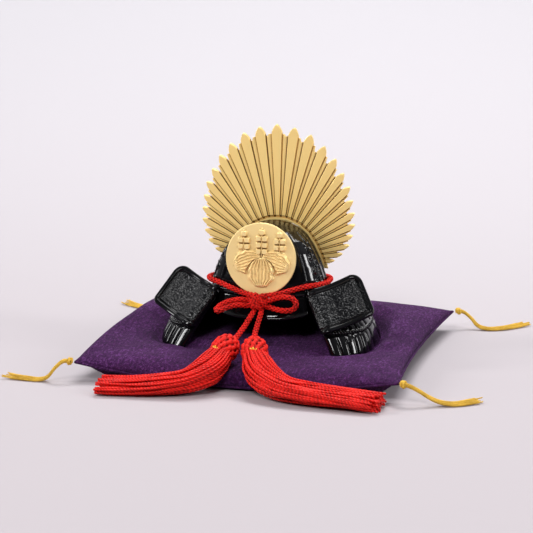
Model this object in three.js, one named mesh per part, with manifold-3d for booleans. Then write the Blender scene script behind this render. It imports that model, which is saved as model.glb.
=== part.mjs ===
// An ornamental samurai helmet of cast metal, with its red chin cord, standing on a square crepe cushion.
// Millimetres. The origin is on the floor under the middle of the cushion, +Z is up and the front faces -Y.
import * as THREE from 'three';
import { mergeVertices } from 'three/addons/utils/BufferGeometryUtils.js';
import Module from 'manifold-3d';

const wasm = await Module();
wasm.setup();

// Clearance between pieces that touch
const GAP = 0.3;

// Cushion
const CUSHION_SIDE = 160;
const CUSHION_CORNER_HEIGHT = 10;
const CUSHION_CROWN = 15.5;

// Helmet's seat on the cushion
const HELMET_BASE = 9.8;

// Neck guard
const NECK_HEIGHT = 26.9;
const NECK_WIDTH = 108;
const NECK_FRONT = 36;
const NECK_BACK = 50;
const NECK_MID_Y = -4;
const NECK_WALL = 1.5;
const NECK_RIBS = 44;
const NECK_RIB_HEIGHT = 0.45;
const NECK_ROPE = 1.2;
const NECK_END_HALF_WIDTH = 38.8;
const NECK_FLARE_POWER = 2.1;

// Bowl
const BOWL_WIDTH = 58;
const BOWL_RISE = 34;
const BOWL_FRONT = 15.5;
const BOWL_BACK = 35;
const BOWL_MID_Y = -13;
const BOWL_WALL = 1.6;
const BOWL_RIB_HEIGHT = 0.6;
const BOWL_FLANGE = 0.7;
const BOWL_FLANGE_RISE = 0.072;
const BOWL_END_SHARE = 0.4138;

// Visor
const VISOR_DROP = 11.6;
const VISOR_REACH = 3;
const VISOR_WALL = 1.5;
const VISOR_SPREAD_DEG = 48;

// Wings
const WING_WIDTH = 28;
const WING_HEIGHT = 25;
const WING_THICKNESS = 1.5;
const WING_RIM_WIDTH = 1.7;
const WING_RIM_HEIGHT = 0.5;
const WING_BULGE = 0.9;
const WING_TOP_CORNER = 6.5;
const WING_BOTTOM_CORNER = 3;
const WING_SWEEP_DEG = 29;
const WING_RISE_DEG = 20.5;
const WING_TOP_SHARES = new THREE.Vector3(-0.0464, -0.15, 0.1357);
const WING_BOTTOM_SHARES = new THREE.Vector3(0.0643, -0.2929, 0.0214);

// Rear crest
const FAN_BLADES = 29;
const FAN_REACH = 71.1;
const FAN_CENTRE_OVER_RIM = 11.5;
const FAN_PLANE_Y = 6.6;
const FAN_LEAN_DEG = 2.8;
const FAN_PLATE = 1;
const FAN_RELIEF = 0.8;
const FAN_PITCH_DEG = 7.55;
const FAN_PITCH_FADE = 0.0088;
const FAN_RING_WIDTH = 1.1;
const FAN_RING_RELIEF = 0.5;
const FAN_POINT = 4.4;

// Front crest
const DISC_DIAMETER = 36;
const DISC_THICKNESS = 1.3;
const DISC_RELIEF = 0.9;
const DISC_BACK_Y = -27.9;
const DISC_LEAN_DEG = 5;
const DISC_CENTRE_OVER_RIM = 18.7;
const DISC_PEG_DIAMETER = 4;

// Cord, bow and tassels
const CORD_DIAMETER = 2.4;
const KNOT_WIDTH = 9.6;
const KNOT_DEPTH = 5.6;
const KNOT_HEIGHT = 8.4;
const TASSEL_HEAD_DIAMETER = 13;
const TASSEL_SKIRT_WIDTH = 18;
const TASSEL_SKIRT_THICKNESS = 9;
const TASSEL_LOCKS = 7;
const CORNER_KNOT_DIAMETER = 4.2;
const CORNER_SKIRT_WIDTH = 4.4;
const CORNER_SKIRT_THICKNESS = 1.5;

const RIM_Z = HELMET_BASE + NECK_HEIGHT + GAP;
const HALF_SIDE = CUSHION_SIDE / 2;
const DEG = Math.PI / 180;
const vec = (x, y, z) => new THREE.Vector3(x, y, z);
const mix = (a, b, t) => a + (b - a) * t;
const clamp01 = (t) => Math.min(Math.max(t, 0), 1);
const smooth = (t) => clamp01(t) ** 2 * (3 - 2 * clamp01(t));

// Materials
const material = (color, roughness, metalness) =>
  new THREE.MeshStandardMaterial({ color, roughness, metalness, flatShading: true });
const blackGloss = material(0x121214, 0.2, 0.1);
const blackGrain = material(0x1c1c1d, 0.5, 0.1);
const gold = material(0xd9b56a, 0.45, 0.9);
const paleGold = material(0xe4c98d, 0.6, 0.8);
const redCord = material(0xd31712, 0.8, 0);
const purpleCrepe = material(0x4d2a6e, 0.95, 0);
const goldThread = material(0xc99a2e, 0.7, 0.1);

const part = new THREE.Group();
part.name = 'ornamental_helmet';

function add(name, geometry, finish) {
  const mesh = new THREE.Mesh(geometry, finish);
  mesh.name = name;
  part.add(mesh);
  return mesh;
}

// A closed body from points and triangles, turned inside out where its faces point inwards
function closedBody(points, faces) {
  let volume = 0;
  for (const [a, b, c] of faces) {
    volume += points[a].dot(vec(0, 0, 0).crossVectors(points[b], points[c]));
  }
  const geometry = new THREE.BufferGeometry();
  const flat = points.flatMap((p) => [p.x, p.y, p.z]);
  geometry.setAttribute('position', new THREE.Float32BufferAttribute(flat, 3));
  geometry.setIndex(faces.flatMap(([a, b, c]) => (volume < 0 ? [a, c, b] : [a, b, c])));
  return geometry;
}

// A loft through closed rings, stitched by the shorter diagonal; a ring of one point is a pole
function loft(rings) {
  const points = [];
  const faces = [];
  const starts = rings.map((ring) => {
    points.push(...ring);
    return points.length - ring.length;
  });
  const cap = (k, turned) => {
    const ring = rings[k];
    if (ring.length === 1) return;
    const middle = ring.reduce((sum, p) => sum.add(p), vec(0, 0, 0)).divideScalar(ring.length);
    points.push(middle);
    const hub = points.length - 1;
    for (let i = 0; i < ring.length; i++) {
      const a = starts[k] + i;
      const b = starts[k] + ((i + 1) % ring.length);
      faces.push(turned ? [hub, b, a] : [hub, a, b]);
    }
  };
  for (let k = 0; k + 1 < rings.length; k++) {
    const [low, high] = [rings[k], rings[k + 1]];
    const [lows, highs] = [low.length === 1 ? 0 : low.length, high.length === 1 ? 0 : high.length];
    let [i, j] = [0, 0];
    while (i < lows || j < highs) {
      const [a, b] = [i % low.length, (i + 1) % low.length];
      const [c, d] = [j % high.length, (j + 1) % high.length];
      const shorter = low[b].distanceTo(high[c]) <= low[a].distanceTo(high[d]) + 1e-6;
      const stepLow = j >= highs || (i < lows && shorter);
      if (stepLow) faces.push([starts[k] + a, starts[k] + b, starts[k + 1] + c]);
      else faces.push([starts[k] + a, starts[k + 1] + d, starts[k + 1] + c]);
      if (stepLow) i++;
      else j++;
    }
  }
  cap(0, true);
  cap(rings.length - 1, false);
  return closedBody(points, faces);
}

// A geometry's merged triangles as a solid for joining, and a joined solid as a geometry again
function toSolid(geometry) {
  const bare = geometry.clone();
  bare.deleteAttribute('normal');
  bare.deleteAttribute('uv');
  const merged = mergeVertices(bare, 1e-4);
  return new wasm.Manifold(new wasm.Mesh({
    numProp: 3,
    vertProperties: new Float32Array(merged.getAttribute('position').array),
    triVerts: new Uint32Array(merged.getIndex().array),
  }));
}

function toGeometry(solid) {
  const mesh = solid.getMesh();
  const geometry = new THREE.BufferGeometry();
  geometry.setAttribute('position', new THREE.Float32BufferAttribute(mesh.vertProperties, 3));
  geometry.setIndex(Array.from(mesh.triVerts));
  return geometry;
}

// A value between the rows of a table, with its columns given by name
function between(rows, key, at, name) {
  const last = rows.length - 1;
  let k = 0;
  while (k < last - 1 && at > rows[k + 1][key]) k++;
  const t = clamp01((at - rows[k][key]) / (rows[k + 1][key] - rows[k][key]));
  return mix(rows[k][name], rows[k + 1][name], t);
}

// A point on a rounded plan outline: half across, front and back deep from its widest line
function planPoint(angle, half, front, back, midY, frontPower, backPower) {
  const [c, s] = [Math.cos(angle), Math.sin(angle)];
  const power = s < 0 ? frontPower : backPower;
  const x = half * Math.sign(c) * Math.abs(c) ** (2 / power);
  const y = midY + (s < 0 ? front : back) * Math.sign(s) * Math.abs(s) ** (2 / power);
  return [x, y];
}

// Bowl: level sections from the rim to the top, as shares of its rise, half width, front and back depths
const BOWL_SECTIONS = [
  { rise: 0.0, half: 1.0, front: 1.0, back: 1.0, shift: 0.0 },
  { rise: 0.206, half: 0.962, front: 0.955, back: 0.985, shift: 0.0 },
  { rise: 0.412, half: 0.879, front: 0.852, back: 0.943, shift: 0.0 },
  { rise: 0.606, half: 0.769, front: 0.72, back: 0.86, shift: 0.02 },
  { rise: 0.765, half: 0.63, front: 0.76, back: 0.64, shift: 0.13 },
  { rise: 0.882, half: 0.46, front: 0.65, back: 0.44, shift: 0.22 },
  { rise: 0.965, half: 0.26, front: 0.42, back: 0.24, shift: 0.28 },
  { rise: 0.99, half: 0.13, front: 0.22, back: 0.12, shift: 0.3 },
];
const BOWL_POWERS = { front: 2.4, back: 2.1 };
const BOWL_TOP_SHIFT = 0.31;

function bowlSection(rise, inset) {
  const share = (name) => between(BOWL_SECTIONS, 'rise', rise, name);
  return {
    half: BOWL_WIDTH / 2 * share('half') - inset,
    front: BOWL_FRONT * share('front') - inset,
    back: BOWL_BACK * share('back') - inset,
    midY: BOWL_MID_Y + BOWL_BACK * share('shift'),
  };
}

function bowlPoint(rise, angle, inset) {
  const s = bowlSection(rise, inset);
  const [x, y] = planPoint(angle, s.half, s.front, s.back, s.midY, BOWL_POWERS.front, BOWL_POWERS.back);
  return vec(x, y, RIM_Z + BOWL_RISE * rise);
}

// Bowl: upright ribs at these angles from the widest line, on both sides, with feet on either side
const BOWL_RIB_ANGLES = [-43, -28, -12, 6, 24, 42, 60, 78];
const BOWL_RIB_FOOT_DEG = 2.4;
const BOWL_PANEL_ANGLES = [-76, -60];
const BOWL_IN_COLUMNS = 24;

function bowlColumns() {
  const right = [{ deg: -90, rib: 0 }];
  for (const deg of BOWL_PANEL_ANGLES) right.push({ deg, rib: 0 });
  for (const deg of BOWL_RIB_ANGLES) {
    right.push({ deg: deg - BOWL_RIB_FOOT_DEG, rib: 0 });
    right.push({ deg, rib: 1 });
    right.push({ deg: deg + BOWL_RIB_FOOT_DEG, rib: 0 });
  }
  right.push({ deg: 90, rib: 0 });
  const left = right.slice(1, -1).reverse().map(({ deg, rib }) => ({ deg: 180 - deg, rib }));
  return [...right, ...left];
}

function bowl() {
  const columns = bowlColumns();
  const rowsOut = [0, 0.07, 0.075, 0.24, 0.41, 0.57, 0.71, 0.83, 0.92, 0.975];
  const rowsIn = [0, 0.22, 0.46, 0.7, 0.88];
  const inDegrees = Array.from({ length: BOWL_IN_COLUMNS }, (_, i) => -90 + 360 * i / BOWL_IN_COLUMNS);
  const outer = rowsOut.map((rise) => columns.map(({ deg, rib }) => {
    const ridge = rib * BOWL_RIB_HEIGHT * smooth((1.02 - rise) / 0.3);
    return bowlPoint(rise, deg * DEG, rise < BOWL_FLANGE_RISE ? -BOWL_FLANGE : -ridge);
  }));
  const inner = rowsIn.map((rise) => inDegrees.map((deg) => bowlPoint(rise, deg * DEG, BOWL_WALL)));
  const topY = BOWL_MID_Y + BOWL_BACK * BOWL_TOP_SHIFT;
  const outerTop = [vec(0, topY, RIM_Z + BOWL_RISE)];
  const innerTop = [vec(0, topY, RIM_Z + BOWL_RISE - BOWL_WALL)];
  return loft([outerTop, ...outer.slice().reverse(), ...inner, innerTop]);
}

// Bowl: cast bosses in the two panels beside the front one, at an angle, a rise and a size in millimetres
const BOWL_BOSSES = [
  { deg: -32, rise: 0.16, wide: 3.4, tall: 4.6 },
  { deg: -32.5, rise: 0.33, wide: 3.2, tall: 4.4 },
  { deg: -33, rise: 0.5, wide: 2.8, tall: 4.2 },
  { deg: -20, rise: 0.12, wide: 2.6, tall: 3.6 },
  { deg: -20, rise: 0.27, wide: 2.6, tall: 3.6 },
  { deg: -20, rise: 0.42, wide: 2.4, tall: 3.6 },
  { deg: -20, rise: 0.57, wide: 2.2, tall: 3.4 },
];
const BOSS_HEIGHT = 0.55;

function bowlWithRelief() {
  let whole = toSolid(bowl());
  for (const { deg, rise, wide, tall } of BOWL_BOSSES) {
    for (const angle of [deg, 180 - deg]) {
      const centre = bowlPoint(rise, angle * DEG, 0);
      const above = bowlPoint(rise + 0.03, angle * DEG, 0).sub(centre).normalize();
      const beside = bowlPoint(rise, (angle + 2) * DEG, 0).sub(centre).normalize();
      const out = vec(0, 0, 0).crossVectors(beside, above).normalize();
      const boss = new THREE.SphereGeometry(1, 8, 4);
      boss.scale(wide / 2, tall / 2, BOSS_HEIGHT);
      boss.applyMatrix4(new THREE.Matrix4().makeBasis(beside, above, out).setPosition(centre));
      whole = whole.add(toSolid(boss));
    }
  }
  return toGeometry(whole);
}
add('bowl', bowlWithRelief(), blackGloss);

// Visor: a strip below the bowl's front rim, spreading forwards as it drops
function visorPoint(angle, drop, inset) {
  const s = bowlSection(0, 0);
  const flare = VISOR_REACH * drop;
  const [x, y] = planPoint(angle, s.half + 0.35 * flare - inset, s.front + flare - inset, s.back, s.midY,
    BOWL_POWERS.front, BOWL_POWERS.back);
  const side = (Math.abs(angle / DEG + 90) / VISOR_SPREAD_DEG) ** 2;
  return vec(x, y, RIM_Z - GAP - VISOR_DROP * drop * (1 - 0.22 * side));
}

function visor() {
  const drops = [0, 0.33, 0.66, 0.9, 1];
  const rings = [];
  const steps = 18;
  for (let i = 0; i <= steps; i++) {
    const angle = (-90 + VISOR_SPREAD_DEG * (2 * i / steps - 1)) * DEG;
    const outside = drops.map((drop) => visorPoint(angle, drop, drop === 0.9 ? -0.35 : 0));
    const inside = drops.map((drop) => visorPoint(angle, drop, VISOR_WALL)).reverse();
    rings.push([...outside, ...inside]);
  }
  return loft(rings);
}
add('visor', visor(), blackGloss);

// Neck guard: the outline at a share of its drop, from the front right end round the back
const NECK_TOP_HALF = BOWL_WIDTH / 2 + 0.9;
const NECK_TOP_FRONT = BOWL_FRONT + 0.4;

function neckSection(drop) {
  const flare = 1 - (1 - drop) ** NECK_FLARE_POWER;
  return {
    half: mix(NECK_TOP_HALF, NECK_WIDTH / 2, flare),
    front: mix(NECK_TOP_FRONT, NECK_FRONT, drop ** 1.1),
    back: mix(BOWL_BACK + 0.4, NECK_BACK, flare),
    midY: mix(BOWL_MID_Y, NECK_MID_Y, drop),
    frontPower: mix(BOWL_POWERS.front, 4, drop),
    backPower: mix(BOWL_POWERS.back, 2.3, drop),
    endHalf: mix(BOWL_END_SHARE * BOWL_WIDTH, NECK_END_HALF_WIDTH, drop),
  };
}

// Share goes from 0 at the front right end to 1 at the front left end
function neckPoint(drop, share, inset) {
  const s = neckSection(drop);
  const endAngle = Math.acos((s.endHalf / s.half) ** (s.frontPower / 2));
  const angle = mix(-endAngle, Math.PI + endAngle, share);
  const [x, y] = planPoint(angle, s.half - inset, s.front - inset, s.back - inset, s.midY,
    s.frontPower, s.backPower);
  return vec(x, y, HELMET_BASE + NECK_HEIGHT * (1 - drop));
}

function neckShares() {
  const columns = 2 * NECK_RIBS;
  const ease = (t) => t + 0.055 * Math.sin(2 * Math.PI * t) - 0.015 * Math.sin(4 * Math.PI * t);
  return Array.from({ length: columns + 1 }, (_, i) => ease(i / columns));
}

// Neck guard: a plain collar, then two lames, each with a rope row on top and upright ribs below
const NECK_ROWS = [
  { drop: 0.0, ribs: 0, proud: 0 },
  { drop: 0.17, ribs: 0, proud: 0 },
  { drop: 0.18, ribs: 0, proud: 1 },
  { drop: 0.225, ribs: 0, proud: 1 },
  { drop: 0.235, ribs: 1, proud: 0.2 },
  { drop: 0.565, ribs: 1, proud: 0.5 },
  { drop: 0.57, ribs: 0, proud: 1.2 },
  { drop: 0.615, ribs: 0, proud: 1.2 },
  { drop: 0.625, ribs: 1, proud: 0.4 },
  { drop: 1.0, ribs: 1, proud: 0.4 },
];

function neckGuard() {
  const inDrops = [1, 0.5, 0];
  const rings = neckShares().map((share, i) => {
    const rib = i % 2 === 1 ? NECK_RIB_HEIGHT : 0;
    const outside = NECK_ROWS.map(({ drop, ribs, proud }) =>
      neckPoint(drop, share, -(rib * ribs + 0.5 * NECK_ROPE * proud) * smooth(6 * drop)));
    const inside = inDrops.map((drop) => neckPoint(drop, share, NECK_WALL));
    return [...outside, ...inside];
  });
  return loft(rings);
}
add('neck_guard', neckGuard(), blackGloss);

// Wings: a rolled inner edge from the neck guard's front edge, then a rounded panel that sweeps out and back
const WING_ROOT_TOP_DROP = 0.03;
const WING_ROOT_BOTTOM_DROP = 0.6;

function wingFront(side, along, down) {
  const drop = mix(WING_ROOT_TOP_DROP, WING_ROOT_BOTTOM_DROP, down);
  const edge = neckPoint(drop, 0, NECK_WALL / 2);
  const root = edge.clone().add(vec(0, -(GAP + 0.15 + NECK_RIB_HEIGHT), 0));
  const top = neckPoint(WING_ROOT_TOP_DROP, 0, NECK_WALL / 2);
  const bottom = neckPoint(WING_ROOT_BOTTOM_DROP, 0, NECK_WALL / 2);
  top.addScaledVector(WING_TOP_SHARES, WING_WIDTH);
  bottom.addScaledVector(WING_BOTTOM_SHARES, WING_WIDTH);
  const inner = top.clone().lerp(bottom, down);
  const [sweep, rise] = [WING_SWEEP_DEG * DEG, WING_RISE_DEG * DEG];
  const out = vec(Math.cos(sweep) * Math.cos(rise), Math.sin(sweep) * Math.cos(rise), Math.sin(rise));
  const face = vec(0, 0, 0).crossVectors(out, bottom.clone().sub(top)).normalize();
  const roll = 5;
  const point = vec(0, 0, 0);
  if (along < 0) {
    const t = -along;
    const knee = inner.clone().addScaledVector(out, -2);
    const start = inner.clone().addScaledVector(out, roll);
    point.addScaledVector(start, (1 - t) ** 2);
    point.addScaledVector(knee, 2 * t * (1 - t));
    point.addScaledVector(root, t ** 2);
  } else {
    const bulge = WING_BULGE * (1 - (2 * along - 0.8) ** 2);
    point.copy(inner).addScaledVector(out, mix(roll, WING_WIDTH, along));
    point.addScaledVector(face, Math.max(bulge, -1.2));
    point.addScaledVector(face, -WING_BULGE * (1 - 0.64) * (1 - smooth(along * 3)));
  }
  return vec(point.x * side, point.y, point.z);
}

function wing(side) {
  const alongs = [-1, -0.72, -0.45, -0.2, 0, 0.16, 0.34, 0.52, 0.68, 0.8, 0.9, 0.97, 1];
  const rimShare = WING_RIM_WIDTH / WING_HEIGHT;
  const downs = [0, rimShare, rimShare + 0.02, 0.3, 0.5, 0.7, 1 - rimShare - 0.02, 1 - rimShare, 1];
  const trim = (along, corner) => {
    const into = clamp01(1 - (1 - along) * WING_WIDTH / corner);
    return corner / WING_HEIGHT * (1 - Math.sqrt(1 - into ** 2));
  };
  const at = (along, down) => {
    const [high, low] = [trim(along, WING_TOP_CORNER), 1 - trim(along, WING_BOTTOM_CORNER)];
    return wingFront(side, along, mix(high, low, down));
  };
  const normal = (along, down) => {
    const [a, d] = [Math.min(Math.max(along, -0.98), 0.93), Math.min(Math.max(down, 0.02), 0.98)];
    const u = at(a + 0.02, d).sub(at(a - 0.02, d));
    const v = at(a, d + 0.02).sub(at(a, d - 0.02));
    return vec(0, 0, 0).crossVectors(u, v).multiplyScalar(side).normalize();
  };
  const rings = alongs.map((along) => {
    const front = downs.map((down, k) => {
      const onRim = along > 0.92 || k < 2 || k > downs.length - 3;
      const rim = WING_RIM_HEIGHT * smooth((along + 0.6) * 2);
      return at(along, down).addScaledVector(normal(along, down), onRim ? rim : 0);
    });
    const back = [0, 0.33, 0.67, 1].map((down) =>
      at(along, down).addScaledVector(normal(along, down), -WING_THICKNESS)).reverse();
    return [...front, ...back];
  });
  return loft(rings);
}
add('wing_right', wing(1), blackGrain);
add('wing_left', wing(-1), blackGrain);

// Rear crest: where the bowl's outside lies in the crest's own plane, seen from the blades' meeting point
const FAN_CENTRE = vec(0, FAN_PLANE_Y, RIM_Z + FAN_CENTRE_OVER_RIM);

function insideBowl(p, margin) {
  const rise = (p.z - RIM_Z) / BOWL_RISE;
  if (rise > 1 + margin / BOWL_RISE) return false;
  const s = bowlSection(clamp01(rise), -margin);
  const deep = p.y < s.midY ? s.front : s.back;
  const power = p.y < s.midY ? BOWL_POWERS.front : BOWL_POWERS.back;
  return (Math.abs(p.x) / s.half) ** power + (Math.abs(p.y - s.midY) / deep) ** power < 1;
}

function fanArch(angle) {
  const thick = FAN_PLATE / 2 + FAN_RELIEF;
  let reach = 10;
  const margin = GAP + BOWL_RIB_HEIGHT;
  const inside = (r) => [-thick, thick].some((depth) => insideBowl(fanPlace(angle, r, depth), margin));
  while (inside(reach)) reach += 0.1;
  return reach;
}

function fanPlace(angle, reach, depth) {
  const lean = FAN_LEAN_DEG * DEG;
  const flat = vec(reach * Math.sin(angle), -depth, reach * Math.cos(angle));
  return flat.applyAxisAngle(vec(1, 0, 0), lean).add(FAN_CENTRE);
}

// Rear crest: each blade's reach as a share of the middle one's, from the middle blade outwards
const FAN_REACHES = [
  1, 0.987, 0.963, 0.92, 0.875, 0.821, 0.774, 0.722,
  0.678, 0.637, 0.59, 0.544, 0.482, 0.418, 0.365,
];

// Rear crest: across one blade, as shares of half its pitch, from the valley over its flat top and back
const BLADE_SECTION = [
  { share: -0.86, relief: 0, pointed: 0 },
  { share: -0.56, relief: 1, pointed: 0.25 },
  { share: 0, relief: 1, pointed: 1 },
  { share: 0.56, relief: 1, pointed: 0.25 },
  { share: 0.86, relief: 0, pointed: 0 },
];

function fanAngle(index) {
  const k = Math.abs(index);
  return Math.sign(index) * k * FAN_PITCH_DEG * DEG * (1 - FAN_PITCH_FADE * (k - 1));
}

function fanCrest() {
  const side = (FAN_BLADES - 1) / 2;
  const rings = [];
  const plate = FAN_PLATE / 2;
  for (let i = -side; i <= side; i++) {
    const middle = fanAngle(i);
    const half = (fanAngle(Math.abs(i) + 0.5) - fanAngle(Math.abs(i) - 0.5)) / 2;
    const reach = FAN_REACH * FAN_REACHES[Math.abs(i)];
    for (const { share, relief, pointed } of BLADE_SECTION) {
      const angle = middle + half * share;
      const arch = fanArch(angle);
      const rim = arch + FAN_RING_WIDTH;
      const end = Math.max(reach - FAN_POINT * FAN_REACHES[Math.abs(i)], rim + 0.8);
      const tip = Math.max(mix(end, reach, pointed), end + 0.01 * pointed);
      const front = plate + FAN_RELIEF * relief;
      const back = -plate - 0.5 * FAN_RELIEF * relief;
      const ringFront = plate + FAN_RING_RELIEF;
      rings.push([
        fanPlace(angle, arch, ringFront), fanPlace(angle, rim, ringFront), fanPlace(angle, rim + 0.4, front),
        fanPlace(angle, tip, front - 0.3 * relief * pointed), fanPlace(angle, tip, back),
        fanPlace(angle, arch, back),
      ]);
    }
  }
  return loft(rings);
}
add('fan_crest', fanCrest(), gold);

// Front crest: an upright disc with three leaves and three flower spikes raised on it, and a peg behind
const DISC_CENTRE = vec(0, DISC_BACK_Y, RIM_Z + DISC_CENTRE_OVER_RIM);
const PAULOWNIA_LEAVES = [
  { turn: 0, length: 0.76, width: 0.44 },
  { turn: 62, length: 0.74, width: 0.4 },
  { turn: -62, length: 0.74, width: 0.4 },
];
const PAULOWNIA_SPIKES = [
  { across: 0, rows: [1, 2, 2], base: 0.16 },
  { across: 0.46, rows: [1, 2], base: 0.19 },
  { across: -0.46, rows: [1, 2], base: 0.19 },
];
const FLORET_SIZE = 0.105;
const FLORET_PITCH = 0.2;

function leafShape(length, width) {
  const points = [];
  const steps = 20;
  for (let i = 0; i <= steps; i++) {
    const t = i / steps;
    const turn = Math.PI * (2 * t - 1);
    const lobes = 1 + 0.05 * Math.cos(turn * 7);
    const swell = Math.sin(turn) * width * lobes;
    points.push(new THREE.Vector2(swell, -length / 2 - length / 2 * Math.cos(turn) * lobes));
  }
  points.pop();
  return new THREE.Shape(points);
}

function crestDisc() {
  const radius = DISC_DIAMETER / 2;
  const disc = new THREE.CylinderGeometry(radius, radius, DISC_THICKNESS, 48);
  disc.rotateX(Math.PI / 2).translate(0, 0, DISC_THICKNESS / 2);
  let whole = toSolid(disc);
  const sink = 0.3;
  const depth = DISC_RELIEF + sink;
  for (const { turn, length, width } of PAULOWNIA_LEAVES) {
    const outline = leafShape(length * radius, width * radius);
    const leaf = new THREE.ExtrudeGeometry(outline, { depth, bevelEnabled: false });
    leaf.translate(0, 0, DISC_THICKNESS - sink);
    leaf.applyMatrix4(new THREE.Matrix4().makeRotationZ(turn * DEG));
    whole = whole.add(toSolid(leaf));
  }
  for (const { across, rows, base } of PAULOWNIA_SPIKES) {
    const tall = rows.length * FLORET_PITCH * radius;
    const stemHeight = (base - 0.05) * radius + tall / 2;
    const stem = new THREE.BoxGeometry(0.05 * radius, tall, depth * 0.8);
    stem.translate(across * radius, stemHeight, DISC_THICKNESS - sink + depth * 0.4);
    whole = whole.add(toSolid(stem));
    rows.slice().reverse().forEach((count, row) => {
      for (let k = 0; k < count; k++) {
        const x = across * radius + (k - (count - 1) / 2) * FLORET_PITCH * radius;
        const y = (base + FLORET_PITCH * (row + 0.35)) * radius;
        const floret = new THREE.CylinderGeometry(FLORET_SIZE * radius, FLORET_SIZE * radius, depth, 6);
        floret.rotateX(Math.PI / 2).translate(x, y, DISC_THICKNESS - sink + depth / 2);
        whole = whole.add(toSolid(floret));
      }
    });
  }
  const face = bowlPoint((DISC_CENTRE_OVER_RIM - DISC_PEG_DIAMETER / 2) / BOWL_RISE, -Math.PI / 2, 0).y;
  const pegLength = face - DISC_BACK_Y - GAP;
  const peg = new THREE.CylinderGeometry(DISC_PEG_DIAMETER / 2, DISC_PEG_DIAMETER / 2, pegLength + sink, 10);
  peg.rotateX(Math.PI / 2).translate(0, 0, sink / 2 - pegLength / 2);
  return toGeometry(whole.add(toSolid(peg)));
}
const disc = add('crest_disc', crestDisc(), paleGold);
disc.position.copy(DISC_CENTRE);
disc.rotation.x = Math.PI / 2 - DISC_LEAN_DEG * DEG;
disc.updateMatrixWorld(true);

// Cord: a round tube along points chosen by hand
function cordTube(points, steps) {
  const route = new THREE.CatmullRomCurve3(points.map(([x, y, z]) => vec(x, y, z)), false, 'centripetal');
  const section = new THREE.Shape();
  for (let i = 0; i < 8; i++) {
    const angle = (i + 0.5) * Math.PI / 4;
    const [x, y] = [Math.cos(angle) * CORD_DIAMETER / 2, Math.sin(angle) * CORD_DIAMETER / 2];
    if (i === 0) section.moveTo(x, y);
    else section.lineTo(x, y);
  }
  const tube = new THREE.ExtrudeGeometry(section, { steps, extrudePath: route, bevelEnabled: false });
  return toGeometry(toSolid(tube));
}

// Chin cord: two points under the disc, then its way round one half of the bowl, at angles, rises
// and lifts over the bowl's plain surface; the other half mirrors it
const CHIN_CORD_FRONT = [[5.2, -32.6, 38.2], [10, -30.9, 38.9]];
const CHIN_CORD_ROUND = [
  { deg: -63.0, rise: 0.106, lift: 1.27 },
  { deg: -46.6, rise: 0.147, lift: 0.64 },
  { deg: -28.5, rise: 0.165, lift: 1.29 },
  { deg: -5.5, rise: 0.165, lift: 1.5 },
  { deg: 7.0, rise: 0.153, lift: 1.14 },
  { deg: 19.3, rise: 0.129, lift: 1.35 },
  { deg: 35.5, rise: 0.1, lift: 1.83 },
  { deg: 54.1, rise: 0.071, lift: 2.11 },
  { deg: 72.8, rise: 0.056, lift: 1.97 },
];
const CHIN_CORD_BACK = { deg: 90, rise: 0.053, lift: 1.93 };

function chinCordPoints() {
  const onBowl = ({ deg, rise, lift }) => bowlPoint(rise, deg * DEG, -(lift + CORD_DIAMETER / 2)).toArray();
  const right = [...CHIN_CORD_FRONT, ...CHIN_CORD_ROUND.map(onBowl)];
  const left = right.map(([x, y, z]) => [-x, y, z]).reverse();
  return [...right, onBowl(CHIN_CORD_BACK), ...left];
}

const LOOP_RIGHT_POINTS = [
  [5.3, -33.4, 35.5], [9, -34.8, 37.2], [14, -36, 38.5], [18.4, -36.5, 37.9], [20.2, -36.6, 35.2],
  [18.4, -36.5, 32.5], [14.4, -36, 31.5], [9.4, -34.9, 31.8], [4.8, -33.6, 32.6],
];
const LOOP_LEFT_POINTS = [
  [-5.3, -33.4, 35.5], [-9.5, -34.6, 36.1], [-14.5, -35.2, 35.2], [-19.2, -36.6, 33.0], [-21.3, -38.6, 30.9],
  [-19.4, -40.2, 29.8], [-14.8, -39.6, 31.2], [-9.6, -36.8, 32.4], [-4.8, -33.8, 32.6],
];
const TAIL_LEFT_POINTS = [
  [-1.9, -33.6, 30.7], [-2.4, -35.6, 29.3], [-3.0, -39, 27.6],
  [-3.6, -44, 25.4], [-4.4, -49.5, 23.3], [-5.4, -55.6, 21.2],
];
const TAIL_RIGHT_POINTS = [
  [1.6, -33.6, 30.7], [1.8, -35.6, 29.2], [1.9, -39, 27.4],
  [2.2, -44, 25.0], [2.7, -49.5, 22.8], [3.6, -55.6, 20.7],
];
add('chin_cord', cordTube(chinCordPoints(), 34), redCord);
add('bow_loop_right', cordTube(LOOP_RIGHT_POINTS, 12), redCord);
add('bow_loop_left', cordTube(LOOP_LEFT_POINTS, 12), redCord);
add('cord_tail_left', cordTube(TAIL_LEFT_POINTS, 6), redCord);
add('cord_tail_right', cordTube(TAIL_RIGHT_POINTS, 6), redCord);

// Bow knot: it lies against the lower edge of the disc, in front of the visor
const KNOT_CENTRE_Z = 35.6;
const discLowEdge = disc.localToWorld(vec(0, -DISC_DIAMETER / 2, DISC_THICKNESS));
const knotY = discLowEdge.y - GAP - KNOT_DEPTH / 2 * 0.86;
const knot = new THREE.SphereGeometry(1, 10, 7);
knot.scale(KNOT_WIDTH / 2, KNOT_DEPTH / 2, KNOT_HEIGHT / 2);
add('bow_knot', toGeometry(toSolid(knot)), redCord).position.set(0, knotY, KNOT_CENTRE_Z);

// Cushion: its height with nothing on it, over a place given as shares of the half side
const CUSHION_FORM = {
  power: 2.2, leftFall: 0.357, rightFall: 0.389, depthFall: 0.485,
  leftPull: 0.024, rightPull: 0.055, depthPull: 0.05,
  leftLift: 0.43, rightSag: 0.16, frontSag: 0.6, backSag: 0.2,
};

function cushionPlan(u, v) {
  const f = CUSHION_FORM;
  const pull = u < 0 ? f.leftPull : f.rightPull;
  return [HALF_SIDE * u * (1 - pull * (1 - v * v)), HALF_SIDE * v * (1 - f.depthPull * (1 - u * u))];
}

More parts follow.
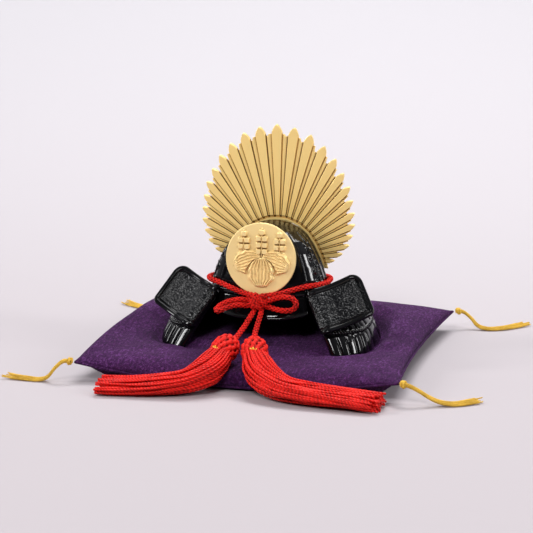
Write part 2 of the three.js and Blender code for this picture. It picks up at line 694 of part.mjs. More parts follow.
function cushionSeam(u, v) {
  const f = CUSHION_FORM;
  const sideSag = u < 0 ? -f.leftLift : f.rightSag;
  const depthSag = v < 0 ? f.frontSag : f.backSag;
  return CUSHION_CORNER_HEIGHT * (1 - sideSag * (1 - v * v) * u * u - depthSag * (1 - u * u) * v * v);
}

function cushionShares(x, y) {
  let [u, v] = [x / HALF_SIDE, y / HALF_SIDE];
  for (let k = 0; k < 5; k++) {
    const [px, py] = cushionPlan(u, v);
    u += (x - px) / HALF_SIDE;
    v += (y - py) / HALF_SIDE;
  }
  return [u, v];
}

function cushionCrown(x, y) {
  const f = CUSHION_FORM;
  const [u, v] = cushionShares(x, y);
  const fall = mix(f.leftFall, f.rightFall, (1 + u) / 2);
  const domeAcross = Math.max(1 - Math.abs(u) ** f.power, 0) ** fall;
  const domeDeep = Math.max(1 - Math.abs(v) ** f.power, 0) ** f.depthFall;
  return cushionSeam(u, v) + CUSHION_CROWN * domeAcross * domeDeep;
}

// Cushion: heights along rings that follow the neck guard's edge, from the dent's floor to the crown
const DENT_RINGS = [
  { scale: 0.5, offset: 0, around: 0.38, side: 0.38, front: 0.3 },
  { scale: 0.86, offset: 0, around: 0.22, side: 0.22, front: 0.2 },
  { scale: 1, offset: -2.6, around: 0, side: 0, front: 0.16 },
  { scale: 1, offset: 2.2, around: 0, side: 0, front: 0.13 },
  { scale: 1, offset: 5.5, around: 0.55, side: 0.13, front: 0.1 },
  { scale: 1, offset: 11, around: 0.92, side: 0.24, front: 0.08 },
];
const OUTER_RINGS = [
  { share: 0.5, around: 1, side: 0.45, front: 0.08 },
  { share: 0.78, around: 1, side: 0.75, front: 0.12 },
  { share: 0.93, around: 1, side: 1, front: 0.4 },
];
const CUSHION_COLUMNS = 48;

function rimPlan(angle, offset, scale) {
  const s = neckSection(1);
  const [x, y] = planPoint(angle, s.half + offset, s.front + offset, s.back + offset, s.midY,
    s.frontPower, s.backPower);
  return [x * scale, s.midY + (y - s.midY) * scale];
}

function cushionOutline(angle, share) {
  const [c, s] = [Math.cos(angle), Math.sin(angle)];
  const reach = share / Math.max(Math.abs(c), Math.abs(s));
  return [c * reach, s * reach];
}

// One where the cushion lies between the helmet's two front ends, nought elsewhere
function frontness(x, y) {
  const across = smooth((NECK_END_HALF_WIDTH - 3.5 - Math.abs(x)) / 14);
  return across * smooth((-10 - y) / 24);
}

// Nought at the cushion's back, one in front of the helmet, where the pad is pressed down more widely
function aheadness(y) {
  return smooth((15 - y) / 50);
}

function cushion() {
  const floor = HELMET_BASE - GAP;
  const angles = Array.from({ length: CUSHION_COLUMNS }, (_, i) => 2 * Math.PI * i / CUSHION_COLUMNS);
  const lift = (x, y, around, side, front) => {
    const level = mix(mix(around, side, aheadness(y)), front, frontness(x, y));
    return mix(floor, cushionCrown(x, y), level);
  };
  const rings = [[vec(0, NECK_MID_Y, lift(0, NECK_MID_Y, 0.42, 0.42, 0.42))]];
  for (const { scale, offset, around, side, front } of DENT_RINGS) {
    rings.push(angles.map((angle) => {
      const [x, y] = rimPlan(angle, offset, scale);
      return vec(x, y, lift(x, y, around, side, front));
    }));
  }
  const last = DENT_RINGS[DENT_RINGS.length - 1];
  for (const { share, around, side, front } of OUTER_RINGS) {
    rings.push(angles.map((angle) => {
      const [nearX, nearY] = rimPlan(angle, last.offset, 1);
      const [farX, farY] = cushionPlan(...cushionOutline(angle, 1));
      const [x, y] = [mix(nearX, farX, share), mix(nearY, farY, share)];
      return vec(x, y, lift(x, y, around, side, front));
    }));
  }
  const edge = (inset, rise) => angles.map((angle) => {
    const [u, v] = cushionOutline(angle, 1);
    const [x, y] = cushionPlan(u * (1 - inset), v * (1 - inset));
    return vec(x, y, cushionSeam(u, v) * rise);
  });
  rings.push(edge(0, 1), edge(0.03, 0.5), edge(0.09, 0.14), edge(0.16, 0), [vec(0, 0, 0)]);
  return loft(rings);
}
add('cushion', cushion(), purpleCrepe);

// Red tassels: half sizes along a lay, first the head's as shares of its diameter, then the skirt's
const HEAD_SECTIONS = [
  { along: 0.0, wide: 0.166, thick: 0.168, lobes: 0 },
  { along: 0.025, wide: 0.346, thick: 0.355, lobes: 0 },
  { along: 0.075, wide: 0.478, thick: 0.482, lobes: 0 },
  { along: 0.13, wide: 0.471, thick: 0.467, lobes: 0 },
  { along: 0.17, wide: 0.415, thick: 0.315, lobes: 0.4 },
];
const SKIRT_SECTIONS = [
  { along: 0.24, wide: 0.41, thick: 0.5, lobes: 1 },
  { along: 0.34, wide: 0.46, thick: 0.5, lobes: 1 },
  { along: 0.46, wide: 0.48, thick: 0.5, lobes: 1 },
  { along: 0.62, wide: 0.49, thick: 0.5, lobes: 1 },
  { along: 0.8, wide: 0.5, thick: 0.48, lobes: 1 },
  { along: 1.0, wide: 0.54, thick: 0.46, lobes: 1 },
];

// Lays of the two skirts: x and y as shares of the cushion's half side, z in millimetres
const TASSEL_LAY_LEFT = [
  { x: -0.0705, y: -0.7, z: 21.1 }, { x: -0.099, y: -0.806, z: 17.9 }, { x: -0.124, y: -0.908, z: 15.2 },
  { x: -0.17, y: -1.029, z: 11.4 }, { x: -0.265, y: -1.102, z: 7.4 }, { x: -0.408, y: -1.135, z: 5.4 },
  { x: -0.6, y: -1.16, z: 3.9 }, { x: -0.8, y: -1.169, z: 3.4 },
];
const TASSEL_LAY_RIGHT = [
  { x: 0.0475, y: -0.6995, z: 20.55 }, { x: 0.075, y: -0.806, z: 17.5 }, { x: 0.118, y: -0.913, z: 15.5 },
  { x: 0.2, y: -1.03, z: 11.3 }, { x: 0.33, y: -1.1, z: 7.2 }, { x: 0.475, y: -1.131, z: 6.0 },
  { x: 0.719, y: -1.144, z: 4.7 }, { x: 0.956, y: -1.15, z: 3.5 },
];

function tasselRing(curve, along, wide, thick, lobes, columns) {
  const centre = curve.getPointAt(along);
  const forward = curve.getTangentAt(along);
  const across = vec(0, 0, 0).crossVectors(forward, vec(0, 0, 1)).normalize();
  const up = vec(0, 0, 0).crossVectors(across, forward).normalize();
  return Array.from({ length: columns }, (_, i) => {
    const angle = 2 * Math.PI * i / columns;
    const swell = 1 - 0.1 * lobes * (i % 2);
    const point = centre.clone().addScaledVector(across, wide * Math.cos(angle) * swell)
      .addScaledVector(up, thick * Math.sin(angle) * swell);
    point.z = Math.max(point.z, 0.02);
    return point;
  });
}

function tassel(lay) {
  const points = lay.map(({ x, y, z }) => vec(x * HALF_SIDE, y * HALF_SIDE, z));
  const curve = new THREE.CatmullRomCurve3(points, false, 'centripetal');
  const columns = 2 * TASSEL_LOCKS;
  const rings = (sections, width, thickness) => sections.map(({ along, wide, thick, lobes }) =>
    tasselRing(curve, along, wide * width, thick * thickness, lobes, columns));
  return loft([
    ...rings(HEAD_SECTIONS, TASSEL_HEAD_DIAMETER, TASSEL_HEAD_DIAMETER),
    ...rings(SKIRT_SECTIONS, TASSEL_SKIRT_WIDTH, TASSEL_SKIRT_THICKNESS),
  ]);
}
add('tassel_left', tassel(TASSEL_LAY_LEFT), redCord);
add('tassel_right', tassel(TASSEL_LAY_RIGHT), redCord);

// Corner tassels: half sizes of the knot at the corner as shares of its diameter, then the thin skirt's
const CORNER_KNOT_SECTIONS = [
  { along: 0.0, wide: 0.21, thick: 0.18 },
  { along: 0.012, wide: 0.47, thick: 0.45 },
  { along: 0.04, wide: 0.5, thick: 0.48 },
  { along: 0.07, wide: 0.31, thick: 0.29 },
];
const CORNER_SECTIONS = [
  { along: 0.12, wide: 0.3, thick: 0.5 },
  { along: 0.3, wide: 0.42, thick: 0.5 },
  { along: 0.5, wide: 0.5, thick: 0.5 },
  { along: 0.75, wide: 0.5, thick: 0.5 },
  { along: 1.0, wide: 0.55, thick: 0.45 },
];
const CORNER_TASSELS = [
  { name: 'front_left', corner: [-1, -1], lay: [[-0.2, -0.2, 10.2], [-5, -2.2, 10.8], [-9, -2.6, 7.6],
    [-13.5, -3, 2.4], [-18, -3, 1.0], [-24, -2.4, 1.0], [-31, -1.4, 1.1], [-37, -0.4, 1.6]] },
  { name: 'front_right', corner: [1, -1], lay: [[0.2, -0.2, 10.2], [5, -1.6, 9.8], [9.5, -0.8, 7.6],
    [14, 0.4, 4.6], [19, 1.8, 2.2], [25, 4, 1.1], [31.5, 9, 1.1], [37.5, 14.6, 1.6]] },
  { name: 'back_right', corner: [1, 1], lay: [[0.2, 0.2, 10.2], [5, 2.6, 9.6], [9.5, 3, 6.2],
    [13.5, 2, 2.4], [19, 1.6, 1.1], [26, 5, 1.1], [33, 13, 1.1], [38.5, 21, 1.3]] },
  { name: 'back_left', corner: [-1, 1], lay: [[-0.2, 0.2, 10.2], [-5, 2.6, 9.8], [-9.5, 3.4, 6.4],
    [-13.5, 4, 2.4], [-19, 5.4, 1.1], [-25, 8.4, 1.1], [-31, 12.6, 1.1], [-36, 17.4, 1.4]] },
];
for (const { name, corner, lay } of CORNER_TASSELS) {
  const curve = new THREE.CatmullRomCurve3(lay.map(([x, y, z]) =>
    vec(corner[0] * HALF_SIDE + x, corner[1] * HALF_SIDE + y, z)), false, 'centripetal');
  const rings = (sections, width, thickness) => sections.map(({ along, wide, thick }) =>
    tasselRing(curve, along, wide * width, thick * thickness, 0, 8));
  add(`corner_tassel_${name}`, loft([
    ...rings(CORNER_KNOT_SECTIONS, CORNER_KNOT_DIAMETER, CORNER_KNOT_DIAMETER),
    ...rings(CORNER_SECTIONS, CORNER_SKIRT_WIDTH, CORNER_SKIRT_THICKNESS),
  ]), goldThread);
}

export default part;
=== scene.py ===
import math

import bpy
import numpy as np
from mathutils import Matrix, Vector


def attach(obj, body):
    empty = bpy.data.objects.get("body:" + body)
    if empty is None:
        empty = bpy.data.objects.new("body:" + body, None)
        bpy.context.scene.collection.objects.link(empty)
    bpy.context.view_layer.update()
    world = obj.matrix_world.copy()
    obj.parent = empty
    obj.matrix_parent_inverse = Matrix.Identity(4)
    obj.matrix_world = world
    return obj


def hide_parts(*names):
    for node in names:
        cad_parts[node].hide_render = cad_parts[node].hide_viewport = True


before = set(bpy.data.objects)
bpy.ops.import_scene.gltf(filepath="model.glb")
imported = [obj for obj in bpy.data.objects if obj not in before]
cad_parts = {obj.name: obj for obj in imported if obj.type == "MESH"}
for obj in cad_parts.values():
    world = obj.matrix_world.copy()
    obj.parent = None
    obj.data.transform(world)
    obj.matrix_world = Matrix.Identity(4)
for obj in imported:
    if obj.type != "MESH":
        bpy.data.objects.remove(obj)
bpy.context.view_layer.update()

# Camera: a long lens a little to the right of the helmet's front, as it is seen, and a little above it.
# Its place and its turn give the photograph's viewing angle.
MM = 0.001
VIEW_AZIMUTH = math.radians(14.89)
VIEW_ELEVATION = math.radians(11.13)
view_back = Vector((
    math.sin(VIEW_AZIMUTH) * math.cos(VIEW_ELEVATION),
    -math.cos(VIEW_AZIMUTH) * math.cos(VIEW_ELEVATION),
    math.sin(VIEW_ELEVATION),
))
view_right = Vector((math.cos(VIEW_AZIMUTH), math.sin(VIEW_AZIMUTH), 0))
view_up = view_back.cross(view_right)
lens = bpy.data.cameras.new("camera")
lens.sensor_width = 36
lens.lens = 121.58
lens.clip_start = 0.05
camera = bpy.data.objects.new("camera", lens)
turn = Matrix((view_right, view_up, view_back)).transposed().to_4x4()
camera.matrix_world = Matrix.Translation(Vector((228.85, -878.44, 224.92)) * MM) @ turn
bpy.context.scene.collection.objects.link(camera)
bpy.context.scene.camera = camera
bpy.context.scene.view_settings.view_transform = "Standard"

# Chin cord: a round braid of bright red rayon, eight strands over a core, about 2.4 mm thick. It goes
# once round the bowl above the rim, comes forward over the wings and is tied in a bow under the disc.
CORD_THICKNESS = 2.4
CORD_PITCH = 9.6
CORD_STRANDS = 8
STRAND_SIDES = 6
CORD_RED = (0.68, 0.012, 0.007, 1)
# The deep red is also the painted shade where the braid's strands pass under one another.
CORD_DEEP_AND_SHADED_RED = (0.11, 0.001, 0.001, 1)
CHIN_CORD_POINTS = [
    (-5.2, -32.6, 38.2), (-10, -30.9, 38.9), (-16, -29.0, 40.6), (-22, -25.9, 42.0), (-27.5, -22.4, 42.6),
    (-30.7, -15.5, 42.6), (-30.3, -8, 42.2), (-29.2, 0, 41.4), (-25.9, 9.5, 40.4), (-19.2, 18.2, 39.4),
    (-10, 23.4, 38.9), (0, 25.0, 38.8), (10, 23.4, 38.9), (19.2, 18.2, 39.4), (25.9, 9.5, 40.4),
    (29.2, 0, 41.4), (30.3, -8, 42.2), (30.7, -15.5, 42.6), (27.5, -22.4, 42.6), (22, -25.9, 42.0),
    (16, -29.0, 40.6), (10, -30.9, 38.9), (5.2, -32.6, 38.2),
]


def smooth_route(points, step):
    """A smooth line through given points, in millimetres, with even steps along it."""
    p = np.array(points, float)
    p = np.vstack([2 * p[0] - p[1], p, 2 * p[-1] - p[-2]])
    knots = np.concatenate([[0], np.cumsum(np.sqrt(np.linalg.norm(np.diff(p, axis=0), axis=1)))])
    line = []
    for k in range(1, len(p) - 2):
        t = np.linspace(knots[k], knots[k + 1], 30, endpoint=False)[:, None]
        blend = lambda a, b, i, j: a + (b - a) * (t - knots[i]) / (knots[j] - knots[i])
        a1 = blend(p[k - 1], p[k], k - 1, k)
        a2 = blend(p[k], p[k + 1], k, k + 1)
        a3 = blend(p[k + 1], p[k + 2], k + 1, k + 2)
        b1 = blend(a1, a2, k - 1, k + 1)
        b2 = blend(a2, a3, k, k + 2)
        line.append(blend(b1, b2, k, k + 1))
    line = np.vstack(line + [p[-2:-1]])
    along = np.concatenate([[0], np.cumsum(np.linalg.norm(np.diff(line, axis=0), axis=1))])
    even = np.linspace(0, along[-1], max(int(round(along[-1] / step)), 4) + 1)
    return np.stack([np.interp(even, along, line[:, i]) for i in range(3)], 1)


def carried_frames(line):
    """Two directions across a line at each of its points, turned as little as possible along it."""
    forward = np.gradient(line, axis=0)
    forward /= np.linalg.norm(forward, axis=1)[:, None]
    across = np.zeros_like(line)
    first = np.cross(forward[0], (0, 0, 1.0))
    if np.linalg.norm(first) < 0.2:
        first = np.cross(forward[0], (0, 1.0, 0))
    across[0] = first / np.linalg.norm(first)
    for i in range(1, len(line)):
        side = across[i - 1] - forward[i] * np.dot(across[i - 1], forward[i])
        across[i] = side / np.linalg.norm(side)
    return across, np.cross(forward, across)


def grid_faces(rows, columns, start=0, wrap=True):
    """Four-sided faces over rows of points, with the place of each corner round and along as shares."""
    i, j = np.meshgrid(np.arange(rows - 1), np.arange(columns if wrap else columns - 1), indexing="ij")
    i, j = i.ravel(), j.ravel()
    after = (j + 1) % columns
    faces = start + np.stack([i * columns + j, i * columns + after, (i + 1) * columns + after,
                              (i + 1) * columns + j], 1)
    width = columns if wrap else columns - 1
    corners = np.stack([
        np.stack([j / width, i / (rows - 1)], 1), np.stack([(j + 1) / width, i / (rows - 1)], 1),
        np.stack([(j + 1) / width, (i + 1) / (rows - 1)], 1), np.stack([j / width, (i + 1) / (rows - 1)], 1),
    ], 1)
    return faces, corners


def tube(line, wide, thick, sides, normal=None):
    """Rings of points round a line, for a strand of oval section; both ends close on a point."""
    if normal is None:
        normal, _ = carried_frames(line)
    forward = np.gradient(line, axis=0)
    normal = normal - forward * (np.sum(normal * forward, 1) / np.sum(forward * forward, 1))[:, None]
    normal = normal / np.linalg.norm(normal, axis=1)[:, None]
    beside = np.cross(forward / np.linalg.norm(forward, axis=1)[:, None], normal)
    angle = 2 * np.pi * np.arange(sides) / sides
    wide = np.broadcast_to(wide, len(line))[:, None, None]
    thick = np.broadcast_to(thick, len(line))[:, None, None]
    rings = line[:, None] + wide * beside[:, None] * np.cos(angle)[None, :, None]
    rings = rings + thick * normal[:, None] * np.sin(angle)[None, :, None]
    rings = np.concatenate([np.repeat(line[:1, None], sides, 1), rings, np.repeat(line[-1:, None], sides, 1)])
    return rings


def mesh_piece(name, parts, material, smooth=True, wrap=True, merge=0.002, marks=None):
    """One object from a list of point grids in millimetres, riding on the body, with shares as its UVs.
    Marks, if given, are one value for each point, for the material to read."""
    points, faces, corners, start = [], [], [], 0
    for grid in parts:
        rows, columns = grid.shape[:2]
        f, c = grid_faces(rows, columns, start, wrap)
        points.append(grid.reshape(-1, 3))
        faces.append(f)
        corners.append(c)
        start += rows * columns
    points = np.concatenate(points) * MM
    faces = np.concatenate(faces)
    mesh = bpy.data.meshes.new(name)
    mesh.from_pydata(points, [], faces)
    lay = mesh.uv_layers.new(name="lie")
    lay.data.foreach_set("uv", np.concatenate(corners).astype(np.float32).ravel())
    mesh.materials.append(material)
    if marks is not None:
        layer = mesh.attributes.new("mark", "FLOAT", "POINT")
        layer.data.foreach_set("value", np.concatenate([np.ravel(m) for m in marks]).astype(np.float32))
    mesh.polygons.foreach_set("use_smooth", np.full(len(faces), smooth))
    mesh.update()
    piece = bpy.data.objects.new(name, mesh)
    bpy.context.scene.collection.objects.link(piece)
    weld = piece.modifiers.new("weld", "WELD")
    weld.merge_threshold = merge * MM
    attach(piece, "root")
    return piece


def add_node(tree, kind, settings=None, **inputs):
    """A shader node with its settings, and each input set to a value or joined to a socket."""
    made = tree.nodes.new("ShaderNode" + kind)
    for key, value in (settings or {}).items():
        setattr(made, key, value)
    for key, value in inputs.items():
        numbered = key[0] == "i" and key[1:].isdigit()
        socket = made.inputs[int(key[1:]) if numbered else key.replace("_", " ")]
        if isinstance(value, bpy.types.NodeSocket):
            tree.links.new(value, socket)
        else:
            socket.default_value = value
    return made


def new_finish(name, **values):
    """A material with one Principled shader; the values go straight on the shader's own sockets."""
    material = bpy.data.materials.new(name)
    material.use_nodes = True
    tree = material.node_tree
    shader = tree.nodes["Principled BSDF"]
    for key, value in values.items():
        shader.inputs[key.replace("_", " ")].default_value = value
    return material, tree, shader


def color_steps(tree, factor, steps):
    """Colours along a value from nought to one."""
    ramp = add_node(tree, "ValToRGB", Fac=factor)
    elements = ramp.color_ramp.elements
    while len(elements) < len(steps):
        elements.new(0.5)
    for element, (place, color) in zip(elements, steps):
        element.position = place
        element.color = color
    return ramp.outputs["Color"]


def calc(tree, operation, *values):
    """The result of a Math node on sockets or numbers."""
    inputs = {"i" + str(k): value for k, value in enumerate(values)}
    return add_node(tree, "Math", {"operation": operation}, **inputs).outputs[0]


def object_place(tree):
    return add_node(tree, "TexCoord").outputs["Object"]


def noise(tree, place, scale, detail, roughness=0.5):
    return add_node(tree, "TexNoise", Vector=place, Scale=scale, Detail=detail,
                    Roughness=roughness).outputs["Fac"]


def mark_value(tree):
    """The value that mesh_piece wrote on each point."""
    return add_node(tree, "Attribute", {"attribute_name": "mark"}).outputs["Fac"]


def add_bump(tree, shader, strength, distance, height):
    bump = add_node(tree, "Bump", Strength=strength, Distance=distance, Height=height).outputs["Normal"]
    tree.links.new(bump, shader.inputs["Normal"])


def rayon(name, light, deep, fibre_turns=0.0, plies=0.0, painted_weave_shade=False):
    """Glossy rayon strand: fine fibres or plies that lie aslant along it and a deeper colour in patches. In a
    weave, painted shade and light from the marks: darker where the strand passes under another, lighter where
    it lies proud."""
    material, tree, shader = new_finish(name, Roughness=0.55, Specular_IOR_Level=0.18)
    lie = add_node(tree, "UVMap", {"uv_map": "lie"}).outputs["UV"]
    patches = noise(tree, object_place(tree), 180.0, 3.0)
    if plies:
        apart = add_node(tree, "SeparateXYZ", Vector=lie).outputs
        round_turn = calc(tree, "MULTIPLY", apart["X"], 4 * math.pi)
        begin = calc(tree, "MULTIPLY_ADD", mark_value(tree), 20.0, round_turn)
        wave = calc(tree, "SINE", calc(tree, "MULTIPLY_ADD", apart["Y"], 2 * math.pi * plies, begin))
        fibres = add_node(tree, "MapRange", Value=wave, From_Min=-1.0, From_Max=0.7).outputs["Result"]
    else:
        turned = add_node(tree, "Mapping", Vector=lie, Scale=(3.0, fibre_turns, 1)).outputs["Vector"]
        fibres = add_node(tree, "TexWave", {"bands_direction": "DIAGONAL"}, Vector=turned, Scale=1.0,
                          Distortion=1.2, Detail=2.0, Detail_Scale=2.0).outputs["Fac"]
    mixed = calc(tree, "MULTIPLY_ADD", fibres, 0.45, patches)
    # Painted shade and light: the marks darken a strand where it passes under another and on its inner side,
    # and lighten it where it lies proud and faces out.
    if painted_weave_shade:
        mixed = calc(tree, "ADD", mixed, calc(tree, "MULTIPLY_ADD", mark_value(tree), 0.95, -0.6))
    brightest = tuple(min(c * 1.2, 1) for c in light[:3]) + (1,)
    color = color_steps(tree, mixed, [(0.3, deep), (0.72, light), (1.0, brightest)])
    tree.links.new(color, shader.inputs["Base Color"])
    add_bump(tree, shader, 0.8 if plies else 0.4, 0.00025, fibres)
    return material


cord_red = rayon("cord_red", CORD_RED, CORD_DEEP_AND_SHADED_RED, fibre_turns=90.0, painted_weave_shade=True)
# The cores are a darker red than the strands: painted shade in the gaps of the braids and of the netted
# heads.
core_shade_red = new_finish("core_shade_red", Base_Color=(0.22, 0.003, 0.002, 1), Roughness=0.8)[0]


def braid_grids(line, thickness):
    """The strands of a round braid along a line, each two over and two under, and the core inside."""
    step = np.linalg.norm(line[1] - line[0])
    along = np.arange(len(line)) * step
    across, over = carried_frames(line)
    # facing and proud make each strand's marks: painted shade on its inner side and under the crossings,
    # painted light where it lies proud and faces out.
    facing = 0.5 + 0.5 * np.sin(2 * np.pi * np.arange(STRAND_SIDES) / STRAND_SIDES)
    grids, marks = [], []
    half = CORD_STRANDS // 2
    for k in range(CORD_STRANDS):
        way = 1 if k % 2 == 0 else -1
        turn_at = 2 * np.pi * (way * along / CORD_PITCH + (k // 2) / half) + (0 if way > 0 else np.pi / half)
        weave = way * np.sin(2 * np.pi * along / CORD_PITCH * half)
        radius = thickness * (0.32 + 0.13 * weave)
        out = across * np.cos(turn_at)[:, None] + over * np.sin(turn_at)[:, None]
        strand = line + out * radius[:, None]
        grids.append(tube(strand, thickness * 0.21, thickness * 0.165, STRAND_SIDES, normal=out))
        proud = np.concatenate([weave[:1], weave, weave[-1:]]) * 0.5 + 0.5
        marks.append(proud[:, None] * facing[None])
    return grids, tube(line, thickness * 0.3, thickness * 0.3, 8), marks


def braided_cord(name, points):
    """A braided cord along given points, with its core as a child."""
    line = smooth_route(points, 0.32)
    strands, core, marks = braid_grids(line, CORD_THICKNESS)
    piece = mesh_piece(name, strands, cord_red, marks=marks)
    inner = mesh_piece(name + "_core", [core], core_shade_red)
    inner.parent = piece
    return piece, line


chin_cord, _ = braided_cord("chin_cord_braid", CHIN_CORD_POINTS)
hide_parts("chin_cord")

# Bow: one loop on each side and a small knot of the same cord. The right loop lies open; the left one
# is folded forwards and seen on edge. The knot is two turns of cord that cross over a third.
LOOP_RIGHT_POINTS = [
    (5.3, -33.4, 35.5), (9, -34.8, 37.2), (14, -36, 38.5), (18.4, -36.5, 37.9), (20.2, -36.6, 35.2),
    (18.4, -36.5, 32.5), (14.4, -36, 31.5), (9.4, -34.9, 31.8), (4.8, -33.6, 32.6),
]
LOOP_LEFT_POINTS = [
    (-5.3, -33.4, 35.5), (-9.5, -34.4, 35.7), (-14.5, -35.2, 34.7), (-18.6, -36.4, 32.8),
    (-20.4, -38.4, 30.9), (-19.0, -40.0, 30.4), (-14.8, -39.4, 32.3), (-9.6, -36.8, 33.4),
    (-4.8, -33.8, 32.6),
]
KNOT_TURNS = [
    [(-4.9, -32.8, 37.9), (-3.0, -34.3, 38.3), (-0.6, -35.0, 37.2), (2.0, -35.3, 35.4), (4.0, -34.4, 33.4),
     (4.4, -33.2, 32.4)],
    [(4.9, -32.8, 37.9), (3.4, -33.9, 38.2), (1.6, -34.4, 37.8), (-0.9, -34.4, 36.0), (-3.6, -34.4, 34.0),
     (-4.5, -33.6, 32.5)],
    [(-1.4, -32.6, 38.1), (-1.5, -35.0, 38.2), (-1.2, -36.2, 36.4), (-0.2, -36.3, 34.2), (1.1, -35.2, 32.2),
     (1.3, -33.3, 31.9)],
    [(-4.9, -33.2, 35.6), (-2.8, -34.2, 35.3), (0, -33.6, 34.8), (3.0, -34.0, 35.2), (4.9, -33.3, 35.6)],
    [(2.8, -33.0, 33.4), (0.6, -34.8, 32.9), (-1.4, -35.3, 33.2), (-2.8, -34.6, 32.4), (-2.4, -33.4, 31.6)],
]
loop_right, _ = braided_cord("bow_loop_right_braid", LOOP_RIGHT_POINTS)
loop_left, _ = braided_cord("bow_loop_left_braid", LOOP_LEFT_POINTS)
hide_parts("bow_loop_right")
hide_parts("bow_loop_left")
knot_strands, knot_marks = [], []
for turns in KNOT_TURNS:
    strands, _, marks = braid_grids(smooth_route(turns, 0.3), CORD_THICKNESS * 1.02)
    knot_strands += strands
    knot_marks += marks
knot = mesh_piece("bow_knot_turns", knot_strands, cord_red, marks=knot_marks)
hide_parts("bow_knot")

# Cord ends and tassels: the two ends of the chin cord hang from the knot and end in netted heads, each
# with a skirt of twisted red strands bound at the neck with yellow thread. The skirts lie off to the sides.
HALF_SIDE = 80.0
TAIL_POINTS = {
    "left": [(-0.9, -33.6, 35.0), (-1.9, -33.6, 30.7), (-2.4, -35.6, 29.3), (-3.0, -39, 27.6),
             (-3.6, -44, 25.4), (-4.4, -49.5, 23.3), (-5.4, -55.6, 21.2), (-8.2, -64.5, 17.9)],
    "right": [(0.9, -33.6, 35.0), (1.6, -33.6, 30.7), (1.8, -35.6, 29.2), (1.9, -39, 27.4), (2.2, -44, 25.0),
              (2.7, -49.5, 22.8), (3.6, -55.6, 20.7), (6.0, -64.5, 17.5)],
}
TASSEL_LAY = {
    "left": [(-0.0705, -0.7, 21.1), (-0.099, -0.806, 17.9), (-0.124, -0.908, 15.2), (-0.17, -1.029, 11.4),
             (-0.265, -1.102, 7.4), (-0.408, -1.135, 5.4), (-0.6, -1.16, 3.9), (-0.8, -1.169, 3.4)],
    "right": [(0.0475, -0.6995, 20.55), (0.075, -0.806, 17.5), (0.118, -0.913, 15.5), (0.2, -1.03, 11.3),
              (0.33, -1.1, 7.2), (0.475, -1.131, 6.0), (0.719, -1.144, 4.7), (0.956, -1.15, 3.5)],
}
HEAD_START = 3.2
HEAD_END = 18.0
HEAD_RADIUS = 6.8
HEAD_ROUNDNESS = 0.62
HEAD_STRANDS = 11
STITCHES = ((-70, 0.79), (-88, 0.83))
SKIRT_STRANDS = 104
SKIRT_STRAND_RADIUS = 0.58
SKIRT_START = 15.0
SKIRT_HALF_WIDTH = [(0.12, 4.8), (0.17, 6.2), (0.25, 8.0), (0.35, 9.0), (0.5, 9.2), (0.8, 9.4), (1.0, 10.2)]
SKIRT_RISE = [(0.12, 4.4), (0.17, 5.0), (0.25, 5.2), (0.35, 5.0), (0.5, 4.9), (0.8, 4.5), (1.0, 4.3)]
SKIRT_FALL = [(0.12, 5.0), (0.17, 7.2), (0.25, 9.6), (0.35, 9.0), (0.5, 6.0), (0.8, 4.5), (1.0, 4.3)]
strand_red = rayon("strand_red", CORD_RED, (0.3, 0.004, 0.003, 1), plies=46.0)
thread_yellow = new_finish("thread_yellow", Base_Color=(0.75, 0.45, 0.03, 1), Roughness=0.5)[0]


def netted_head(line, radius):
    """Strands woven both ways over a rounded head, from its top to its neck."""
    top, bottom = line[0], line[-1]
    axis = (bottom - top) / np.linalg.norm(bottom - top)
    beside = np.cross(axis, (0, 0, 1.0))
    beside /= np.linalg.norm(beside)
    upright = np.cross(beside, axis)
    middle, half_length = (top + bottom) / 2, np.linalg.norm(bottom - top) / 2
    grids, marks = [], []
    for k in range(2 * HEAD_STRANDS):
        way = 1 if k % 2 == 0 else -1
        t = np.linspace(0.07, 0.93, 46)
        swing = way * (t - 0.5) * 1.9 + 2 * np.pi * (k // 2) / HEAD_STRANDS
        weave = np.sin(2 * np.pi * (t - 0.07) * HEAD_STRANDS * 0.52 + (0 if way > 0 else np.pi))
        girth = np.sin(np.pi * t) ** HEAD_ROUNDNESS
        place = middle - axis * (half_length * np.cos(np.pi * t) * 0.97)[:, None]
        out = beside * np.cos(swing)[:, None] + upright * np.sin(swing)[:, None]
        place = place + out * ((radius - 0.95) * girth + 0.4 * weave)[:, None]
        slope = out * np.sin(np.pi * t)[:, None] - axis * np.cos(np.pi * t)[:, None]
        grids.append(tube(place, 0.98, 0.7, 8, normal=slope))
        # The marks are painted shade and light: each strand is darker where it passes under another and on
        # its side that faces in, lighter where it lies proud.
        proud = np.concatenate([weave[:1], weave, weave[-1:]]) * 0.5 + 0.5
        marks.append(0.35 + 0.65 * proud[:, None] * (0.6 + 0.4 * np.sin(np.pi * np.arange(8) / 4))[None])
    stitches = []
    for turn_deg, at in STITCHES:
        t = at + 0.05 * np.sin(np.linspace(0, np.pi, 12))
        swing = np.radians(turn_deg + np.linspace(-9, 9, 12))
        out = beside * np.cos(swing)[:, None] - upright * np.sin(swing)[:, None]
        place = middle - axis * (half_length * np.cos(np.pi * t) * 0.97)[:, None]
        lift = (radius + 0.35) * np.sin(np.pi * t) ** HEAD_ROUNDNESS
        stitches.append(tube(place + out * lift[:, None], 0.42, 0.42, 6))
    ring = np.linspace(0, 2 * np.pi, 16, endpoint=False)
    core = []
    for share in np.linspace(0.02, 0.98, 14):
        girth = (radius - 1.25) * np.sin(np.pi * share) ** HEAD_ROUNDNESS
        core.append(middle - axis * half_length * np.cos(np.pi * share) * 0.95
                    + girth * (np.cos(ring)[:, None] * beside + np.sin(ring)[:, None] * upright))
    return grids, np.array(core), marks, stitches


